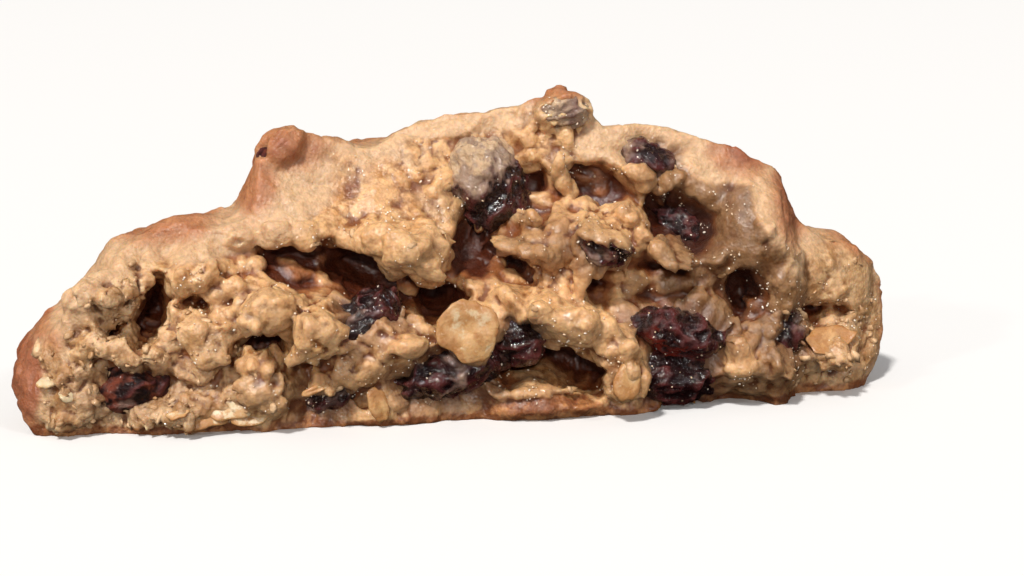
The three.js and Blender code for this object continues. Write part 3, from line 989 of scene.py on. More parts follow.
@dataclass(frozen=True)
class RaisinFinish:
    """A raisin's skin: dark, wet and purple, with patches of sugar bloom; painted shade makes it
    darker in its folds and painted light lighter on its ridges.
    """

    name: str = "raisin_skin"
    skin: Colour = srgb(28, 10, 11)
    ridge: Colour = srgb(88, 40, 38)
    bloom: Colour = srgb(126, 90, 84)
    smear: Colour = srgb(126, 98, 86)
    film: Colour = srgb(206, 174, 138)
    film_low: Colour = srgb(158, 132, 112)
    flesh: Colour = srgb(116, 36, 24)
    leather: Colour = srgb(116, 56, 38)

    def build(self) -> bpy.types.Material:
        """Makes the material, which reads the folds, dough film and flesh painted on the skin."""
        f = Finish(self.name)
        fold = f.attribute("fold")
        # painted shade in the folds and painted light on the ridges
        colour = f.blend(f.remap(fold, 0.45, 0.95), self.skin, self.ridge)
        colour = f.blend(f.remap(f.noise(1.2, 4), 0.56, 0.72, 0, 0.25), colour, self.bloom)
        leathery = f.math("MULTIPLY", f.attribute("dried"), f.remap(f.noise(1.4, 4), 0.42, 0.66))
        colour = f.blend(leathery, colour, self.leather)
        colour = f.blend(f.attribute("flesh"), colour, self.flesh)
        film = f.math("MULTIPLY", f.attribute("film"), f.remap(fold, 0.2, 0.6, 0.55, 1.0))
        colour = f.blend(f.remap(film, 0.02, 0.22), colour, self.smear)
        colour = f.blend(f.remap(film, 0.2, 0.42, 0, 0.95), colour, self.film_low)
        thick = f.math("ADD", film, f.remap(f.noise(2.2, 4, 0.6), 0.38, 0.64, -0.5, 0.15))
        colour = f.blend(f.remap(thick, 0.45, 0.95, 0, 0.85), colour, self.film)
        gloss = f.remap(f.noise(0.9, 3), 0.4, 0.65, 0.12, 0.36)
        rough = f.node("ShaderNodeMix", data_type="FLOAT")
        f.plug(f.attribute("dried"), rough.inputs["Factor"])
        f.plug(gloss, rough.inputs["A"])
        rough.inputs["B"].default_value = 0.6
        f.set(
            Base_Color=colour,
            Roughness=rough.outputs["Result"],
            Normal=f.bump(f.noise(0.8, 5, 0.65), 0.4),
            Specular_IOR_Level=0.2,
            Subsurface_Weight=0.12,
            Subsurface_Radius=(1.0, 0.3, 0.3),
            Subsurface_Scale=0.001,
            Coat_Weight=f.remap(f.attribute("dried"), 0.0, 0.9, 1.0, 0.15),
            Coat_Roughness=0.07,
            Coat_Normal=f.bump(f.noise(0.6, 2, 0.5), 0.34, f.bump(f.noise(1.6, 2), 0.4)),
        )
        return f.material


@dataclass(frozen=True)
class GlintSyrupFinish:
    """Pale, shining beads: their pale colour is a painted highlight standing for glints."""

    name: str = "glint_sugar"
    clear: Colour = srgb(226, 196, 162)
    glint_cloudy: Colour = srgb(250, 238, 220)

    def build(self) -> bpy.types.Material:
        """Makes the material."""
        f = Finish(self.name)
        f.set(
            # painted highlight: a pale colour standing for glints
            Base_Color=f.blend(f.remap(f.noise(1.5, 2), 0.4, 0.6), self.clear, self.glint_cloudy),
            Roughness=f.remap(f.noise(0.5, 2), 0.4, 0.6, 0.12, 0.3),
            Coat_Weight=1.0,
            Coat_Roughness=0.1,
        )
        return f.material


# ------------------------------------------------------------------------------ the raisins


class Cover(Enum):
    """How much dough lies over a raisin: skin shows where it faces out by more than this."""

    BARE = -0.35
    LAPPED = 0.12
    SMEARED = 0.4
    DRAPED = 0.62
    BURIED = 0.97


@dataclass(frozen=True)
class RaisinLook:
    """How a raisin lies in the dough, and what its skin is like."""

    cover: Cover
    facing: Triple  # the way its bare skin looks
    filmed: float = 0.0  # how much of the bare skin has a film of dough, from -1 to 1
    dried: float = 0.0  # how dull and leathery it is, from 0 to 1
    growth: float = 0.25  # how far its skin stands out from the CAD solid, in millimetres
    film_on_top: bool = False  # the film hangs down from the top, over half of the skin
    torn_open: bool = False  # its red flesh shows


@dataclass
class Raisin:
    """One raisin: the CAD solid with its skin drawn into deep folds, and where dough covers it."""

    node: str
    number: int  # makes each one different
    look: RaisinLook
    clear: float = 1.5  # how thick dough may be and still be torn off the bare skin
    fold_depth: float = 1.05
    voxel: float = 0.19
    tree: BVHTree = field(init=False)
    low: np.ndarray = field(init=False)
    high: np.ndarray = field(init=False)

    def __post_init__(self) -> None:
        """Reads the CAD solid's faces, which the dough is fitted round."""
        shape = node_copy(self.node)
        self.tree = BVHTree.FromBMesh(shape)
        places = np.array([vert.co for vert in shape.verts])
        self.low, self.high = places.min(0), places.max(0)
        shape.free()

    def add_cover(self, shape: bmesh.types.BMesh, thick: float) -> None:
        """Adds a coat of dough round the raisin.

        Args:
            shape: the dough, which it is added to.
            thick: how far it stands out from the raisin, in millimetres.
        """
        coat = node_copy(self.node)
        coat.normal_update()
        moves = [(vert, vert.co + vert.normal * thick) for vert in coat.verts]
        for vert, place in moves:
            vert.co = place
        mesh = drawn(coat)
        coat.free()
        shape.from_mesh(mesh)
        bpy.data.meshes.remove(mesh)

    def near(self, places: np.ndarray, reach: float) -> tuple[np.ndarray, np.ndarray, np.ndarray]:
        """Measures the points that lie near the raisin.

        Args:
            places: one point a row.
            reach: how near, in millimetres.

        Returns:
            The near points' numbers, how far out of the raisin each lies, and which way its
            skin faces there.
        """
        inside = np.all((places > self.low - reach) & (places < self.high + reach), axis=1)
        numbers = np.nonzero(inside)[0]
        out, ways = np.empty(len(numbers)), np.empty((len(numbers), 3))
        for row, number in enumerate(numbers):
            place = Vector(places[number])
            skin, way, _, _ = self.tree.find_nearest(place)
            out[row] = (place - skin).dot(way)
            ways[row] = way
        return numbers, out, ways

    def open_window(self, places: np.ndarray, moves: np.ndarray, depth: float) -> None:
        """Works out how to draw the dough in under the raisin's skin where the raisin is bare.

        Args:
            places: the dough's points.
            moves: how far each of them is to move, which this adds to.
            depth: how far under the skin the dough ends, in millimetres.
        """
        numbers, out, ways = self.near(places, self.clear)
        cover = self.look.cover
        facing = np.array(self.look.facing) / np.linalg.norm(self.look.facing)
        ragged = 0.3 * lumps(places[numbers], 2.6, self.number + 20)
        if cover is not Cover.BURIED:
            ragged += 0.3 * lumps(places[numbers], 1.0, self.number + 40)
        ragged *= 1 - 0.6 * max(0, cover.value)
        bare = smoothstep(ways @ facing + ragged, cover.value - 0.08, cover.value + 0.08)
        bare *= 1 - smoothstep(out, self.clear - 0.6, self.clear)
        moves[numbers] -= ways * (bare * (out + depth))[:, None]

    def build(self, material: bpy.types.Material) -> bpy.types.Object:
        """Makes the raisin.

        Args:
            material: its skin.

        Returns:
            The piece, in place of the CAD's raisin.
        """
        mesh = modified(
            node_copy(self.node),
            ("REMESH", {"mode": "VOXEL", "voxel_size": self.voxel}),
            ("SMOOTH", {"iterations": 6, "factor": 0.5}),
        )
        places, normals = places_of(mesh), normals_of(mesh)
        folds = self.folds(places)
        bulge = 0.6 * lumps(places, 4.2, self.number)
        out = self.look.growth + bulge + self.fold_depth * (folds - 0.62)
        places = places + normals * out[:, None]
        places[:, 2] = np.maximum(places[:, 2], 0.05)
        set_places(mesh, places)
        paint(mesh, "fold", folds)
        paint(mesh, "film", self.film(places))
        paint(mesh, "dried", np.full(len(places), self.look.dried))
        paint(mesh, "flesh", self.flesh(places, normals_of(mesh)))
        piece = finished(self.node + "_skin", mesh, material)
        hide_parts(self.node)
        return piece

    def folds(self, places: np.ndarray) -> np.ndarray:
        """Works out how high the skin stands.

        Args:
            places: points of the skin.

        Returns:
            From 0 in a fold to 1 on a ridge, for each point.
        """
        middle = places.mean(0)
        axes = np.linalg.svd(places - middle, full_matrices=False)[2]
        along = (places - middle) @ axes.T * (0.7, 1, 1) + self.number * 7.3 + 3.1
        bend = np.stack([lumps(along, 3.4, k) for k in range(3)], 1)
        along = along + 1.1 * bend
        ridges = 1 - np.abs(1.9 * lumps(along, 2.7, 5))
        finer = 1 - np.abs(1.7 * lumps(along, 1.3, 6))
        crinkled = 1 - np.abs(1.6 * lumps(along, 0.7, 7))
        return np.clip(0.5 * ridges + 0.32 * finer + 0.18 * crinkled, 0, 1)

    def film(self, places: np.ndarray) -> np.ndarray:
        """Works out where a thin film of dough lies over the skin.

        Args:
            places: points of the skin.

        Returns:
            From 0 to 1 for each point.
        """
        spread = layered(places, 3.0, 3, self.number + 3) + self.look.filmed
        if self.look.film_on_top:
            edge_x, edge_z = 3.4, 26.8  # a point on the film's lower edge, which leans left
            spread = spread + (places[:, 2] - edge_z) / 3.4 - (places[:, 0] - edge_x) / 5
            spread = spread + 0.7 * layered(places, 1.5, 3, 90)
        return smoothstep(spread, 0.0, 1.6)

    def flesh(self, places: np.ndarray, ways: np.ndarray) -> np.ndarray:
        """Works out where a torn raisin's red flesh shows, low on its front.

        Args:
            places: points of the skin.
            ways: which way it faces there.

        Returns:
            From 0 to 1 for each point.
        """
        if not self.look.torn_open:
            return np.zeros(len(places))
        middle = (self.low[0] + self.high[0]) / 2
        low_front = -ways[:, 2] + 0.35 * lumps(places, 2.0, 9) - 0.12 * (places[:, 0] - middle)
        inner = smoothstep(places[:, 0], self.low[0] + 0.8, self.low[0] + 2.8)
        return smoothstep(low_front, 0.45, 0.85) * smoothstep(-ways[:, 1], 0.0, 0.3) * inner


RAISIN_LOOKS = {
    "raisin_big": RaisinLook(Cover.BARE, (0, -1, -0.1), filmed=0.1, film_on_top=True),
    "raisin_upper_right": RaisinLook(Cover.LAPPED, (0.4, -0.8, 0.5), filmed=0.1),
    "raisin_black": RaisinLook(Cover.BARE, (-0.2, -1, 0), filmed=-0.6, growth=-0.1),
    "raisin_middle": RaisinLook(Cover.DRAPED, (0, -0.8, -0.6), filmed=0.05, growth=0.0),
    "raisin_under_flake": RaisinLook(Cover.LAPPED, (0.4, -0.9, -0.3)),
    "raisin_low_middle": RaisinLook(Cover.BARE, (0, -1, 0.1), filmed=0.05),
    "raisin_cave": RaisinLook(Cover.SMEARED, (0, -0.4, 1), filmed=-0.5),
    "raisin_left": RaisinLook(Cover.LAPPED, (0, -1, 0.1), filmed=0.1, dried=0.9, growth=0.7),
    "raisin_torn": RaisinLook(Cover.BARE, (0, -1, 0.2), filmed=-0.5, torn_open=True),
    "raisin_low_right": RaisinLook(Cover.BARE, (0, -1, 0), filmed=-0.6),
    "raisin_far_right": RaisinLook(Cover.SMEARED, (-0.2, -1, 0.2), filmed=0.2),
    "raisin_low_left": RaisinLook(Cover.LAPPED, (0, -1, 0.2), filmed=0.1),
    "raisin_knob": RaisinLook(Cover.BURIED, (-0.6, -0.65, 0.45), dried=1.0, growth=-0.2),
    "raisin_peak": RaisinLook(Cover.DRAPED, (0.2, -1, -0.3), filmed=0.8, dried=0.3, growth=-0.3),
    "raisin_crust_back": RaisinLook(Cover.SMEARED, (0.2, 0.7, 0.7), dried=0.5),
    "raisin_crust_side": RaisinLook(Cover.SMEARED, (-0.6, 0.6, 0.5), dried=0.5),
}


# ------------------------------------------------------------------------------ the dough


@dataclass(frozen=True)
class Clump:
    """A lump of dough on the torn face: where it is, its half sizes and turn, and how far out."""

    x: float
    z: float
    wide: float
    high: float
    thick: float
    turn: float
    out: float


@dataclass(frozen=True)
class Hollow:
    """A hollow of the torn face: where it is, its half sizes and turn, and how much deeper."""

    x: float
    z: float
    wide: float
    high: float
    turn: float
    deep: float

    def sink(self, places: np.ndarray) -> None:
        """Draws points of the torn face back into the cookie, in place."""
        turn = math.radians(self.turn)
        dx, dz = places[:, 0] - self.x, places[:, 2] - self.z
        along = (dx * math.cos(turn) + dz * math.sin(turn)) / self.wide
        across = (dz * math.cos(turn) - dx * math.sin(turn)) / self.high
        share = np.clip(1 - along**2 - across**2, 0, 1) ** 0.6
        behind = places[:, 1] - tear_depth(places[:, 0], places[:, 2])
        places[:, 1] += self.deep * share * (1 - smoothstep(behind, 7, 11))


HOLLOWS = (
    Hollow(-12.5, 17.3, 4.8, 2.3, -25, 3.0),  # long cave
    Hollow(-22.0, 18.6, 5.4, 1.8, -5, 1.0),
    Hollow(-35.6, 14.8, 1.6, 2.4, -15, 1.2),  # hole in the left crumb
    Hollow(-36.6, 11.6, 2.0, 1.5, 0, 1.6),
    Hollow(-31.0, 14.5, 2.4, 0.9, -8, 2.5),
    Hollow(-40.6, 8.4, 2.4, 0.9, -25, 2.0),
    Hollow(-23.6, 9.8, 2.8, 1.7, 0, 0.6),
    Hollow(-3.4, 13.4, 1.7, 2.7, 20, 2.0),  # black cave
    Hollow(0.4, 18.4, 2.8, 2.6, 0, 2.5),
    Hollow(5.2, 17.6, 3.0, 1.1, -20, 1.5),
    Hollow(9.0, 26.2, 1.7, 3.4, 8, 0.8),  # niches right of the big raisin
    Hollow(15.6, 26.6, 3.6, 2.3, -10, 0.6),
    Hollow(3.2, 27.0, 5.4, 6.6, -15, 3.0),  # round the big raisin
    Hollow(3.8, 22.0, 5.0, 2.6, 0, 2.5),
    Hollow(26.4, 21.8, 4.8, 3.6, -35, 5.0),  # round the black raisin
    Hollow(34.8, 13.4, 1.6, 3.4, 10, 1.5),  # upright cleft
    Hollow(23.5, 15.2, 6.8, 2.7, 0, 0.4),
    Hollow(15.9, 15.3, 1.5, 2.4, 0, 1.0),
    Hollow(8.5, 6.6, 4.6, 1.9, 5, 0.5),  # low caves over the base
    Hollow(13.6, 5.2, 3.8, 1.9, -20, 1.0),
    Hollow(43.5, 10.4, 4.6, 0.8, 8, 2.5),
    Hollow(38.6, 7.6, 2.2, 3.2, 0, 2.0),
)

CLUMPS = (
    Clump(-7.0, 20.6, 3.4, 2.3, 2.0, -10, 0.4),  # shining lumps over the long cave
    Clump(-10.2, 21.8, 2.2, 1.8, 1.6, 0, 0.3),
    Clump(-4.4, 21.0, 2.0, 2.0, 1.6, 20, 0.4),
    Clump(-4.0, 18.0, 1.5, 0.7, 0.8, -35, 0.8),
    Clump(-8.2, 18.6, 2.2, 1.5, 1.2, -20, 0.3),
    Clump(-6.2, 15.8, 1.4, 2.2, 1.0, 5, 0.2),
    Clump(-22.4, 14.8, 2.8, 2.2, 1.8, -15, 0.4),  # pale lumps left of the middle
    Clump(-17.6, 12.4, 2.6, 2.4, 1.9, 20, 0.5),
    Clump(-26.6, 16.6, 1.5, 1.2, 1.2, 0, 0.4),
    Clump(-28.6, 15.9, 1.3, 1.0, 1.0, 0, 0.4),
    Clump(-33.0, 13.6, 1.2, 1.8, 1.0, 10, 0.5),
    Clump(-33.8, 11.6, 1.4, 1.2, 1.1, 0, 0.5),
    Clump(-29.4, 9.4, 2.0, 1.5, 1.3, 0, 0.4),
    Clump(-30.6, 7.2, 2.2, 1.4, 1.2, 0, 0.3),
    Clump(-41.4, 10.6, 2.6, 1.4, 1.4, -20, 0.5),
    Clump(-36.6, 9.3, 2.6, 1.3, 1.4, -10, 0.6),
    Clump(-22.4, 8.0, 0.9, 2.2, 0.8, 5, 0.7),  # a peg of dough and its foot
    Clump(-23.4, 4.6, 2.2, 1.6, 0.9, -15, 0.4),
    Clump(-11.4, 11.9, 1.9, 1.5, 1.0, 0, 0.3),  # lumps over the raisin in the cave
    Clump(-9.0, 11.8, 1.6, 1.4, 1.0, 0, 0.3),
    Clump(-13.4, 10.4, 1.5, 1.8, 0.9, 0, 0.2),
    Clump(-7.4, 10.2, 2.2, 1.5, 1.2, 10, 0.5),
    Clump(-5.2, 10.6, 1.4, 1.2, 1.0, 0, 0.5),
    Clump(-14.4, 6.8, 1.5, 2.0, 1.0, 10, 0.4),
    Clump(-13.6, 4.2, 1.1, 1.6, 0.8, 15, 0.4),
    Clump(3.9, 16.9, 1.6, 0.8, 0.8, 25, 1.2),  # the ridge that comes down to the right
    Clump(5.8, 15.9, 1.4, 0.9, 0.9, -30, 1.2),
    Clump(7.4, 13.7, 1.6, 1.5, 1.1, -35, 0.8),
    Clump(9.4, 12.8, 1.8, 1.6, 1.3, -20, 0.7),
    Clump(12.4, 12.2, 2.6, 1.9, 1.5, -12, 0.7),
    Clump(15.4, 10.8, 2.0, 1.9, 1.4, -40, 0.7),
    Clump(17.3, 8.8, 1.5, 2.0, 1.2, -60, 0.7),
    Clump(18.1, 6.6, 1.2, 1.9, 1.0, 10, 0.6),
    Clump(11.2, 15.0, 0.6, 0.9, 0.6, 0, 0.6),
    Clump(13.1, 16.6, 1.0, 2.6, 0.9, 0, 0.9),
    Clump(2.4, 21.0, 1.5, 0.7, 1.1, 10, 1.0),  # ledges under the big raisin
    Clump(5.0, 20.4, 2.2, 0.9, 1.3, -8, 1.0),
    Clump(8.2, 19.8, 1.6, 0.9, 1.1, -12, 0.8),
    Clump(7.4, 22.8, 1.6, 1.5, 1.2, 0, 0.6),
    Clump(9.8, 24.0, 1.4, 1.6, 1.1, 0, 0.6),
    Clump(11.3, 29.0, 0.9, 1.7, 0.7, -25, 1.4),  # a shred in the niche
    Clump(11.9, 27.4, 1.0, 1.6, 0.8, 15, 1.3),
    Clump(13.1, 25.7, 0.9, 1.4, 0.7, 25, 1.0),
    Clump(15.0, 23.6, 2.2, 1.6, 1.4, 0, 0.5),  # over the middle raisin
    Clump(17.2, 23.2, 1.4, 1.2, 1.1, 0, 0.5),
    Clump(21.0, 28.0, 2.4, 1.2, 1.0, -25, 0.4),
    Clump(15.8, 26.6, 3.2, 2.2, 2.0, -10, 0.5),  # fill of the niche
    Clump(20.4, 15.2, 2.4, 1.8, 1.6, 0, 0.3),  # dim lumps over the torn raisin
    Clump(24.4, 14.8, 2.8, 1.8, 1.6, 10, 0.3),
    Clump(28.4, 15.6, 2.2, 2.0, 1.6, 0, 0.2),
    Clump(32.0, 7.2, 1.6, 2.0, 1.2, 10, 0.9),  # yellow crumb beside the low raisin
    Clump(32.3, 5.4, 1.9, 1.2, 1.0, 0, 0.8),
    Clump(-20.5, 17.2, 2.6, 1.4, 1.4, 0, 0.2),  # in the long cave's shallow end
    Clump(-24.8, 18.4, 1.8, 1.2, 1.2, 0, 0.2),
    Clump(-15.6, 15.8, 1.8, 1.2, 1.2, -20, 0.2),
    Clump(-25.6, 21.6, 1.8, 1.6, 1.3, 0, 0.2),  # on the long cave's upper edge
    Clump(-21.8, 21.9, 2.2, 1.7, 1.4, 0, 0.3),
    Clump(-18.2, 21.6, 1.6, 1.8, 1.3, 10, 0.3),
    Clump(-42.4, 14.6, 3.2, 3.4, 3.6, -10, -2.2),  # bulge of the left crust
    Clump(7.6, 3.4, 5.0, 0.5, 1.0, 2, 0.2),  # pale edge of the base's tongue
)


def wet_relief(places: np.ndarray) -> np.ndarray:
    """Works out how far wet crumb stands out: stretched lumps with webs between them.

    Args:
        places: points, in the tear's frame.

    Returns:
        Millimetres for each point.
    """
    bend = np.stack([lumps(places, 4.5, 30 + k) for k in range(3)], 1)
    bent = places + 1.8 * bend
    webs = 1 - np.abs(1.8 * lumps(bent, 3.0, 33))
    busy = smoothstep(lumps(places, 5.0, 37), -0.4, 0.5)
    return (
        0.5 * (domes(bent, 3.4, 34) - 0.5)
        + 0.14 * (webs - 0.5)
        + busy * 0.26 * (domes(bent, 1.5, 35) - 0.5)
        + busy * 0.2 * (domes(bent, 0.9, 38) - 0.5)
        + 0.18 * layered(places, 1.1, 2, 36)
    )


def dry_relief(places: np.ndarray) -> np.ndarray:
    """Works out how far dry crumb stands out: grains on grains, with pits.

    Args:
        places: points, in the tear's frame.

    Returns:
        Millimetres for each point.
    """
    bend = np.stack([lumps(places, 2.4, 40 + k) for k in range(3)], 1)
    bent = places + 1.0 * bend
    pits = np.maximum(0, 0.5 - domes(bent, 2.6, 44))
    webs = 1 - np.abs(1.8 * lumps(bent, 1.5, 47))
    return (
        0.3 * (domes(bent, 2.5, 43) - 0.5)
        + 0.22 * (webs - 0.5)
        + 0.12 * (domes(bent, 0.95, 45) - 0.5)
        + 0.3 * layered(places, 1.2, 3, 46)
        - 1.1 * pits
    )


def crust_relief(places: np.ndarray) -> np.ndarray:
    """Works out how far the crust stands out: soft swells, wrinkles and pores.

    Args:
        places: points, in the tear's frame.

    Returns:
        Millimetres for each point.
    """
    wrinkles = 1 - np.abs(2.2 * lumps(places, 5.0, 52))
    pores = np.maximum(0, domes(places, 3.4, 53) - 0.9)
    return (
        0.5 * layered(places, 5.5, 3, 50)
        - 0.22 * np.maximum(0, wrinkles - 0.72) / 0.28
        + 0.12 * layered(places, 1.2, 2, 51)
        - 3.0 * pores
    )


@dataclass
class Dough:
    """The dough of the half: the CAD solid under lumps, crumbs, pores and coats on the raisins."""

    raisins: list[Raisin]
    voxel: float = 0.3
    lump_count: int = 460
    strand_count: int = 150
    crumble_count: int = 750
    lumps_reach: float = 46.0  # no lumps lie further than this from the middle, along the tear
    coat: float = 0.42  # how far dough stands out round a raisin
    window: float = 1.2  # how far it ends under a raisin's bare skin
    most_triangles: int = 194_000
    seed: int = 4

    def poses(self, spots: list[Spot], least: float, most: float) -> list[Matrix]:
        """Works out how a lump lies at each of many spots.

        Args:
            spots: where.
            least: the smallest radius.
            most: the largest.

        Returns:
            A pose for each, with its half sizes as its scale.
        """
        draw = random.Random(self.seed + len(spots))
        poses = []
        for spot in spots:
            size = least + (most - least) * draw.random() ** 2
            half = (size * draw.uniform(0.9, 1.6), size * draw.uniform(0.7, 1.1), size * 0.8, 1)
            middle = spot.place - spot.facing * size * draw.uniform(0.1, 0.6)
            turn = turn_to(spot.facing, draw.uniform(0, FULL_TURN))
            poses.append(Matrix.Translation(middle) @ turn @ Matrix.Diagonal(half))
        return poses

    def strands(self, spots: list[Spot]) -> list[Matrix]:
        """Works out how a thin strand of dough lies at each of many spots."""
        draw = random.Random(self.seed)
        poses = []
        for spot in spots:
            long, thin = draw.uniform(0.9, 1.9), draw.uniform(0.4, 0.75)
            turn = turn_to(spot.facing, draw.uniform(0, FULL_TURN))
            lean = Matrix.Rotation(draw.uniform(-0.5, 0.5), 4, "Y")
            half = Matrix.Diagonal((long, thin, thin, 1))
            middle = spot.place + spot.facing * draw.uniform(-0.3, 0.15)
            poses.append(Matrix.Translation(middle) @ turn @ lean @ half)
        return poses

    def clumps(self, surface: Surface) -> list[Matrix]:
        """Works out how each of the named lumps lies on the torn face.

        Args:
            surface: the CAD solid's.

        Returns:
            A pose for each, with its half sizes as its scale.
        """
        trees = [surface.tree, *(raisin.tree for raisin in self.raisins)]
        poses = []
        for clump in CLUMPS:
            start = Vector((clump.x, -40, clump.z))
            hits = [tree.ray_cast(start, Vector((0, 1, 0)))[0] for tree in trees]
            hit = min((hit for hit in hits if hit), key=lambda place: place.y)
            half = Matrix.Diagonal((clump.wide, clump.thick, clump.high, 1))
            turn = Matrix.Rotation(math.radians(-clump.turn), 4, "Y")
            poses.append(Matrix.Translation(hit - Vector((0, clump.out, 0))) @ turn @ half)
        return poses

    def lumpy(self) -> bmesh.types.BMesh:
        """Puts lumps of dough on a copy of the CAD solid, and fills it round the raisins.

        Returns:
            The solid and its lumps, running through each other.
        """
        shape = node_copy("dough")
        mesh = drawn(shape)
        surface = Surface(mesh)
        bpy.data.meshes.remove(mesh)
        Mould(3).press(shape, self.clumps(surface), Swell((2.0, 0.3), (0.6, 0.15)))
        facts = surface.facts
        x, _, z = surface.middles.T
        foot = 2.0 + 2.6 * np.exp(-(((x - 8.5) / 8) ** 4))
        torn = (1 - facts.crust) * (z > foot) * (facts.behind < 1.5)
        torn = torn * (1 - 0.9 * facts.calm) * (np.abs(x) < self.lumps_reach)
        wet = surface.scatter(torn * (1 - facts.dry), self.lump_count, self.seed, 1.4)
        dry = surface.scatter(torn * facts.dry, self.crumble_count, self.seed + 1, 0.9)
        strung = surface.scatter(torn * (1 - facts.dry), self.strand_count, self.seed + 2, 1.6)
        mould = Mould(2)
        mould.press(shape, self.poses(wet, 0.5, 2.0), Swell((1.3, 0.7), (0.55, 0.25)))
        mould.press(shape, self.strands(strung), Swell((1.0, 0.5), (0.5, 0.2)))
        mould.press(shape, self.poses(dry, 0.5, 1.7), Swell((0.9, 0.55), (0.45, 0.3)))
        mesh = drawn(shape)
        places = places_of(mesh)
        for hollow in HOLLOWS:
            hollow.sink(places)
        set_places(mesh, places)
        shape.clear()
        shape.from_mesh(mesh)
        bpy.data.meshes.remove(mesh)
        for raisin in self.raisins:
            raisin.add_cover(shape, self.coat)
        return shape

    def build(self) -> bpy.types.Object:
        """Makes the dough.

        Returns:
            The piece, in place of the CAD's dough.
        """
        mesh = modified(
            self.lumpy(),
            ("REMESH", {"mode": "VOXEL", "voxel_size": self.voxel}),
            ("SMOOTH", {"iterations": 2, "factor": 0.5}),
        )
        places, normals = places_of(mesh), normals_of(mesh)
        facts = Facts.at(places)
        out = np.zeros(len(places))
        on_crust, torn = facts.crust > 0.01, facts.crust < 0.99
        wet, dry = torn & (facts.dry < 0.99), torn & (facts.dry > 0.01)
        out[wet] += wet_relief(places[wet]) * (1 - facts.dry[wet])
        out[dry] += dry_relief(places[dry]) * facts.dry[dry]
        out *= (1 - facts.crust) * (1 - 0.65 * facts.calm)
        out[on_crust] += crust_relief(places[on_crust]) * facts.crust[on_crust]
        out *= 1 - smoothstep(-normals[:, 2], 0.6, 0.95) * (places[:, 2] < 0.4)
        places = places + normals * out[:, None]
        moves = np.zeros_like(places)
        for raisin in self.raisins:
            raisin.open_window(places, moves, self.window)
        places += softened(mesh, moves, 5)
        places[:, 2] = np.maximum(places[:, 2], 0)
        set_places(mesh, places)
        mesh = self.thinned(mesh)
        self.paint_facts(mesh)
        piece = finished("dough_crumb", mesh, DoughFinish().build())
        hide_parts("dough")
        return piece

    def thinned(self, mesh: bpy.types.Mesh) -> bpy.types.Mesh:
        """Takes faces out where the dough is smooth, down to the most it may have."""
        share = self.most_triangles / counted(mesh)
        shape = bmesh.new()
        shape.from_mesh(mesh)
        bpy.data.meshes.remove(mesh)
        if share >= 1:
            return modified(shape)
        return modified(shape, ("DECIMATE", {"decimate_type": "COLLAPSE", "ratio": share}))

    def paint_facts(self, mesh: bpy.types.Mesh) -> None:
        """Stores what the finish reads.

        Args:
            mesh: the dough's mesh.
        """
        places, normals = places_of(mesh), normals_of(mesh)
        facts = Facts.at(places)
        fine = softened(mesh, places, 10)
        broad = softened(mesh, fine, 90)
        hollow = np.einsum("ij,ij->i", fine - places, normals)
        wide = softened(mesh, normals, 30)
        wide /= np.maximum(np.linalg.norm(wide, axis=1), 1e-9)[:, None]
        sunk = np.einsum("ij,ij->i", broad - places, wide)
        paint(mesh, "crust", facts.crust)
        paint(mesh, "base", facts.base)
        paint(mesh, "dry", facts.dry)
        self.paint_crumb(mesh, places, facts, hollow, sunk)
        self.paint_crust(mesh, places, facts, sunk)

    def paint_crumb(
        self,
        mesh: bpy.types.Mesh,
        places: np.ndarray,
        facts: Facts,
        hollow: np.ndarray,
        sunk: np.ndarray,
    ) -> None:
        """Stores painted shade for the crumb's hollows, for the dimmed crumb and for its caves, and
        where a raisin stains it.

        Args:
            mesh: the dough's mesh.
            places: its points.
            facts: what is known about them.
            hollow: how far each lies below those close by, in millimetres.
            sunk: how far it lies below those a few millimetres away.
        """
        x, _, z = places.T
        torn = 1 - facts.crust
        pale = most_share(LIT_PALE_PATCHES, places)
        # painted shade and painted light: darker in hollows and paler on lumps, with less of it on
        # the pale lumps
        paint(mesh, "hollow", smoothstep(hollow, -0.2, 0.26) * (1 - 0.5 * pale))
        # painted shade: dims the right side, its bulge, the listed ledges and the low crumb
        right = smoothstep(x, 17, 26) * (1 - smoothstep(x, 40, 44))
        bulge = facts.calm * (x > 20) * (x < 42)
        ledges = most_share(DIM_SHADE_PATCHES, places)
        low = smoothstep(z, 1, 4) * (1 - smoothstep(z, 4, 13))
        dim_shade = np.max([0.75 * right, bulge, 0.5 * ledges, 0.35 * low], axis=0)
        paint(mesh, "dim_shade", torn * dim_shade * (1 - pale))
        # painted shade: darkens sunken places, places further back and the listed recesses
        recess_shade = most_share(SHADE_RECESS_PATCHES, places) * smoothstep(facts.behind, -1.0, 2.0)
        cave_shade = smoothstep(sunk + 0.2 * facts.behind + 1.0 * recess_shade, 0.1, 2.1)
        paint(mesh, "cave_shade", torn * cave_shade)
        near = np.full(len(places), FAR)
        for raisin in self.raisins:
            numbers, out, _ = raisin.near(places, 3.2)
            near[numbers] = np.minimum(near[numbers], out)
        stain = 1 - smoothstep(near + 0.6 * lumps(places, 2.0, 83), 0.2, 3.0)
        paint(mesh, "juice", torn * stain * (1 - 0.5 * facts.dry) * smoothstep(z, 24, 16))

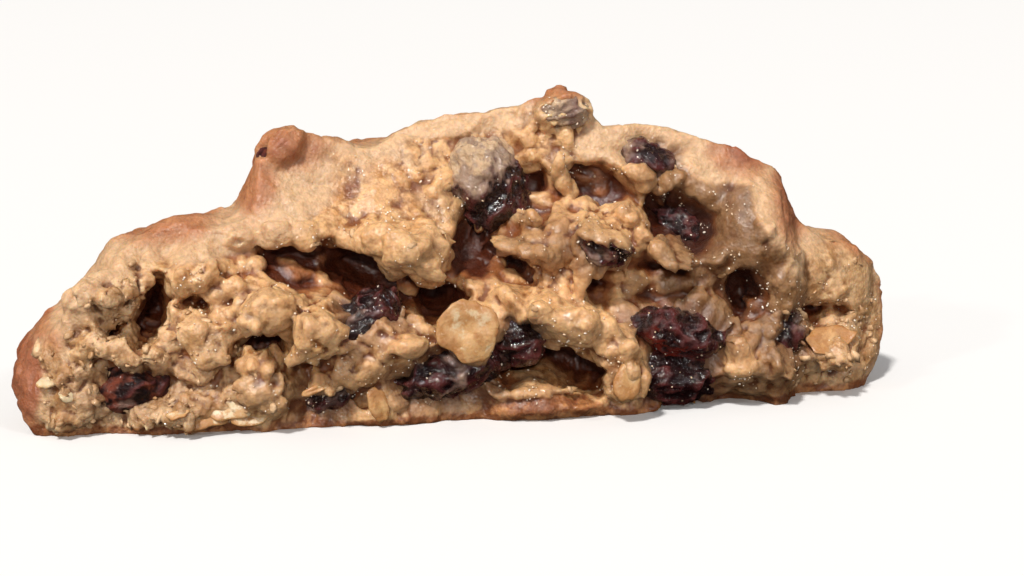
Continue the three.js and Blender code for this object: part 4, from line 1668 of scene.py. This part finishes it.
    def paint_crust(
        self, mesh: bpy.types.Mesh, places: np.ndarray, facts: Facts, sunk: np.ndarray
    ) -> None:
        """Stores how far the crust is browned, and where it is the pale lip of the tear.

        Args:
            mesh: the dough's mesh.
            places: its points.
            facts: what is known about them.
            sunk: how far each lies below those a few millimetres away.
        """
        z = places[:, 2]
        edge = 0.7 * smoothstep(z, 15, 5)
        brown = most_share(BROWN_PATCHES, places)
        toast = most_share(TOASTED_PATCHES, places)
        high = smoothstep(facts.behind, 3, 10) * (smoothstep(-sunk, -0.3, 1.2) + edge)
        paint(mesh, "high", np.clip(high + 1.1 * brown, 0, 1) + 0.9 * toast)
        rim = (1 - smoothstep(facts.behind, 0.2, 5.0)) * (1 - brown)
        paint(mesh, "lip", facts.crust * rim * smoothstep(z, 9, 14) * 0.8)


# ------------------------------------------------------------------------------ oats and crumbs


@dataclass(frozen=True)
class Oat:
    """One rolled oat, its sizes in millimetres."""

    long: float
    wide: float
    coated: float  # how much dough lies on it, from -1 to 1
    point: float = 0.1  # how much it narrows towards one end


@dataclass(frozen=True)
class TornOat:
    """An oat on the torn face: where it is, its turns in degrees, and how far out it stands."""

    oat: Oat
    x: float
    z: float
    spin: float
    tip: float
    swing: float
    out: float


TORN_OATS = (
    TornOat(Oat(7.9, 6.3, 0.1, 0.36), -0.4, 11.4, -60, 82, -8, 0.9),
    TornOat(Oat(4.2, 2.4, 0.35), -10.7, 2.9, -68, 82, 10, 0.8),
    TornOat(Oat(3.4, 0.9, 0.1, 0.3), -17.8, 5.4, 20, 75, 0, 1.0),
    TornOat(Oat(5.2, 3.0, 0.2, 0.2), 17.6, 5.4, 75, 55, 35, 0.9),
    TornOat(Oat(6.4, 3.6, 0.4), 44.5, 7.6, 10, 50, 10, 0.5),
    TornOat(Oat(5.6, 3.4, -0.3), -27.4, 3.4, 4, 62, 0, 0.5),
    TornOat(Oat(6.2, 2.8, -0.2), -30.8, 2.2, 2, 66, 0, 0.5),
    TornOat(Oat(4.8, 2.2, -0.3), -25.2, 2.0, -3, 60, 0, 0.5),
    TornOat(Oat(2.6, 1.8, -0.8), -47.2, 6.6, 15, 40, 0, 0.5),
    TornOat(Oat(1.9, 1.4, -0.8), -45.2, 5.2, -30, 50, 0, 0.5),
    TornOat(Oat(2.4, 1.5, 0.0), -33.0, 3.2, 20, 50, 0, 0.6),
)


@dataclass
class OatFlakes:
    """Rolled oats that show on the torn face and lie baked into the crust."""

    dough: Surface
    seed: int = 12
    crust_count: int = 30
    apart: float = 7.0  # the least distance between those on the crust
    thick: float = 0.55

    def add_oat(
        self, shape: bmesh.types.BMesh, pose: Matrix, oat: Oat, number: int, baked: float
    ) -> None:
        """Adds one oat.

        Args:
            shape: what it is added to.
            pose: its place and turn, flat in its own XY.
            oat: its sizes and coat.
            number: makes each one different.
            baked: how brown it is.
        """
        coated_layer = shape.verts.layers.float["coated"]
        baked_layer = shape.verts.layers.float["baked"]
        fine = 4 if oat.long > 6.5 else 3
        made = bmesh.ops.create_icosphere(shape, subdivisions=fine, radius=1)
        shift = Vector((number * 2.3, number * 0.7, 0))
        cup = 0.05 * math.sin(number * 1.9)
        for vert in made["verts"]:
            x, y, z = vert.co
            edge = 1 + 0.26 * noise.noise(Vector((x, y, 0)) * 1.6 + shift)
            edge += 0.1 * noise.noise(Vector((x, y, 0)) * 4 + shift)
            narrow = 1 - oat.point * x
            px, py = x * edge * oat.long / 2, y * edge * narrow * oat.wide / 2
            crease = 0.2 * math.exp(-((y / 0.16) ** 2)) * (1 - x * x)
            flat = Vector((px, py, 0))
            lift = cup * (px * px + 0.6 * py * py) + 0.45 * noise.noise(flat / 2.2 + shift)
            lift += 0.16 * noise.noise(flat / 0.8 + shift)
            pz = math.copysign(abs(z) ** 0.7, z) * self.thick / 2
            vert.co = Vector((px, py, pz + lift - (crease if z > 0 else 0)))
            vert[coated_layer] = oat.coated + 0.6 * max(0, math.hypot(x, y) - 0.7) / 0.3
            vert[baked_layer] = baked
        bmesh.ops.transform(shape, matrix=pose, verts=made["verts"])

    def add_scatter(self, shape: bmesh.types.BMesh, spots: list[Spot], baked: float) -> None:
        """Adds an oat, half sunk, at each of many spots.

        Args:
            shape: what they are added to.
            spots: where.
            baked: how brown the oats are.
        """
        draw = random.Random(self.seed + len(spots))
        for spot in spots:
            tilt = Matrix.Rotation(draw.uniform(-0.2, 0.2) * (1 - 0.6 * baked), 4, "X")
            sunk = spot.place - spot.facing * draw.uniform(0.15, 0.45)
            turn = turn_to(spot.facing, draw.uniform(0, FULL_TURN))
            oat = Oat(draw.uniform(3.6, 6.0), draw.uniform(2.6, 4.0), draw.uniform(0.55, 1.0))
            pose = Matrix.Translation(sunk) @ turn @ tilt
            self.add_oat(shape, pose, oat, len(shape.verts), baked * draw.uniform(0.5, 1))

    def build(self) -> bpy.types.Object:
        """Makes all the oats, as one piece."""
        shape = bmesh.new()
        shape.verts.layers.float.new("coated")
        shape.verts.layers.float.new("baked")
        for number, torn in enumerate(TORN_OATS):
            hit = self.dough.tree.ray_cast(Vector((torn.x, -30, torn.z)), Vector((0, 1, 0)))[0]
            pose = (
                Matrix.Translation(hit - Vector((0, torn.out - 0.6, 0)))
                @ Matrix.Rotation(math.radians(torn.swing), 4, "Z")
                @ Matrix.Rotation(math.radians(-torn.spin), 4, "Y")
                @ Matrix.Rotation(math.radians(torn.tip), 4, "X")
            )
            self.add_oat(shape, pose, torn.oat, number, 0.0)
        facts = self.dough.facts
        height = self.dough.middles[:, 2]
        crust = (facts.crust > 0.9) * (height > 4) * (facts.behind > 12)
        spots = self.dough.scatter(crust, self.crust_count, self.seed + 1, self.apart)
        self.add_scatter(shape, spots, 0.9)
        for vert in shape.verts:
            vert.co.z = max(vert.co.z, 0.02)
        mesh = drawn(shape)
        shape.free()
        piece = finished("oat_flakes", mesh, OatFinish().build())
        return piece


@dataclass
class Crumbs:
    """Small loose crumbs that cling to the torn face, most of them where it is dry."""

    dough: Surface
    seed: int = 31
    dry_count: int = 300
    wet_count: int = 30
    grains: Grains = Grains(0.16, 0.6, (0.8, 1.8), (0.6, 1.0), 0.55, raised=0.1, tilt=0.6)

    def build(self) -> bpy.types.Object:
        """Makes the crumbs, as one piece."""
        shape = bmesh.new()
        facts = self.dough.facts
        torn = (1 - facts.crust) * (facts.behind < 1.5) * (self.dough.middles[:, 2] > 0.5)
        spots = self.dough.scatter(torn * facts.dry, self.dry_count, self.seed, 0.4)
        spots += self.dough.scatter(torn * (1 - facts.dry), self.wet_count, self.seed + 1, 0.6)
        draw = random.Random(self.seed)
        poses = [self.grains.pose(spot, draw) for spot in spots]
        Mould(1).press(shape, poses, Swell((0.5, 0.6), (0.2, 0.9)))
        mesh = drawn(shape)
        shape.free()
        places = places_of(mesh)
        places[:, 2] = np.maximum(places[:, 2], 0.02)
        set_places(mesh, places)
        paint(mesh, "dry", np.ones(len(places)))
        paint(mesh, "hollow", 0.35 + 0.3 * lumps(places, 1.5, 60))
        piece = finished("crumbs", mesh, DoughFinish(name="loose_crumb", soft=0.0).build())
        return piece


@dataclass
class GlintBeads:
    """Tiny pale beads on the wet crumb and the raisins, standing for glints: their pale colour is a
    painted highlight, and they shine as well.
    """

    dough: Surface
    raisins: list[Surface]
    seed: int = 57
    dough_count: int = 1600
    raisin_count: int = 26
    grains: Grains = Grains(0.06, 0.17, (0.8, 1.5), (0.7, 1.0), 0.7, raised=0.2)

    def build(self) -> bpy.types.Object:
        """Makes the beads, as one piece."""
        shape = bmesh.new()
        facts, middles = self.dough.facts, self.dough.middles
        front = smoothstep(-self.dough.normals[:, 1], 0.0, 0.5)
        clusters = smoothstep(layered(middles, 3.2, 3, 58), -0.05, 0.35)
        wet = (1 - facts.crust) * (1 - 0.9 * facts.dry) * (facts.behind < 4) * (middles[:, 2] > 2)
        spots = self.dough.scatter(wet * front * clusters, self.dough_count, self.seed)
        for number, raisin in enumerate(self.raisins):
            front = smoothstep(-raisin.normals[:, 1], 0.0, 0.5)
            clusters = smoothstep(layered(raisin.middles, 2.0, 2, 59), -0.05, 0.3) + 1e-6
            spots += raisin.scatter(front * clusters, self.raisin_count, self.seed + number)
        draw = random.Random(self.seed)
        poses = [self.grains.pose(spot, draw) for spot in spots]
        Mould(1).press(shape, poses, Swell((0.3, 0.3), (0.1, 0.2)))
        mesh = drawn(shape)
        shape.free()
        # painted highlight: pale beads standing for glints
        piece = finished("glint_beads", mesh, GlintSyrupFinish().build())
        return piece


# ------------------------------------------------------------------------------ the stage


WARM, COOL = srgb(255, 251, 246), srgb(248, 250, 255)


@dataclass(frozen=True)
class Lamp:
    """A far lamp: the way to it, how wide it looks in degrees, and its light."""

    name: str
    way: Triple
    spread: float
    strength: float
    colour: Colour

    def build(self) -> None:
        """Hangs the lamp."""
        light = bpy.data.lights.new(self.name, "SUN")
        light.angle = math.radians(self.spread)
        light.energy = self.strength
        light.color = self.colour[:3]
        lamp = bpy.data.objects.new(self.name, light)
        lamp.rotation_mode = "QUATERNION"
        lamp.rotation_quaternion = Vector(self.way).to_track_quat("Z", "Y")
        bpy.context.scene.collection.objects.link(lamp)


LAMPS = (
    Lamp("key_lamp", (-0.42, -0.58, 0.9), 6, 3.0, WARM),
    Lamp("second_lamp", (0.5, -0.6, 0.6), 4, 0.35, COOL),
    Lamp("low_lamp", (-0.12, -1.0, 0.36), 3, 0.95, WARM),
    Lamp("side_lamp", (-0.9, -0.6, 0.5), 3, 0.3, WARM),
)


@dataclass(frozen=True)
class Stage:
    """A pale floor, soft light that comes mostly from the upper left, and the camera."""

    target: Vector = Vector((5.0, 0.0, 15.7))
    azimuth: float = -8.5
    elevation: float = 12.0
    distance: float = 170.0
    lens: float = 51.86
    sensor: float = 36.0

    def floor(self) -> None:
        """Lays the floor, out to the horizon."""
        shape = bmesh.new()
        bmesh.ops.create_grid(shape, x_segments=1, y_segments=1, size=60.0)
        mesh = drawn(shape, "floor")
        shape.free()
        f = Finish("floor_white")
        f.set(Base_Color=(0.9, 0.9, 0.9, 1), Roughness=0.8)
        mesh.materials.append(f.material)
        floor = bpy.data.objects.new("floor", mesh)
        floor.visible_diffuse = False
        floor.visible_glossy = False
        bpy.context.scene.collection.objects.link(floor)

    def camera(self) -> None:
        """Sets the camera up."""
        data = bpy.data.cameras.new("camera")
        data.lens = self.lens
        data.sensor_width = self.sensor
        data.clip_start = 0.01
        data.clip_end = 200
        camera = bpy.data.objects.new("camera", data)
        a, e = math.radians(self.azimuth), math.radians(self.elevation)
        back = Vector((math.sin(a) * math.cos(e), -math.cos(a) * math.cos(e), math.sin(e)))
        camera.location = TO_PART @ (self.target + back * self.distance)
        camera.rotation_mode = "QUATERNION"
        camera.rotation_quaternion = (-back).to_track_quat("-Z", "Y")
        bpy.context.scene.collection.objects.link(camera)
        bpy.context.scene.camera = camera

    def build(self) -> None:
        """Sets up the floor, the lamps, the sky and the camera."""
        self.floor()
        self.camera()
        for lamp in LAMPS:
            lamp.build()
        world = bpy.data.worlds.new("soft_room")
        bpy.context.scene.world = world
        world.use_nodes = True
        sky = world.node_tree.nodes["Background"]
        sky.inputs["Color"].default_value = (1, 1, 1, 1)
        sky.inputs["Strength"].default_value = 0.25
        world.cycles_visibility.glossy = False
        bpy.context.scene.view_settings.view_transform = "Standard"


def main() -> None:
    """Builds the cookie and its stage."""
    logging.basicConfig(level=logging.INFO, format="%(relativeCreated)6d ms %(message)s")
    Stage().build()
    looks = RAISIN_LOOKS.items()
    raisins = [Raisin(node, number, look) for number, (node, look) in enumerate(looks)]
    wet = [raisin for raisin in raisins if raisin.look.dried < 0.5]
    dried = [raisin for raisin in raisins if raisin.look.dried >= 0.5]
    skin = RaisinFinish().build()
    wet_skins = [Surface.of(raisin.build(skin)) for raisin in wet]
    for raisin in dried:
        raisin.build(skin)
    surface = Surface.of(Dough(raisins).build())
    OatFlakes(surface).build()
    Crumbs(surface).build()
    GlintBeads(surface, wet_skins).build()


if __name__ == "__main__":
    main()
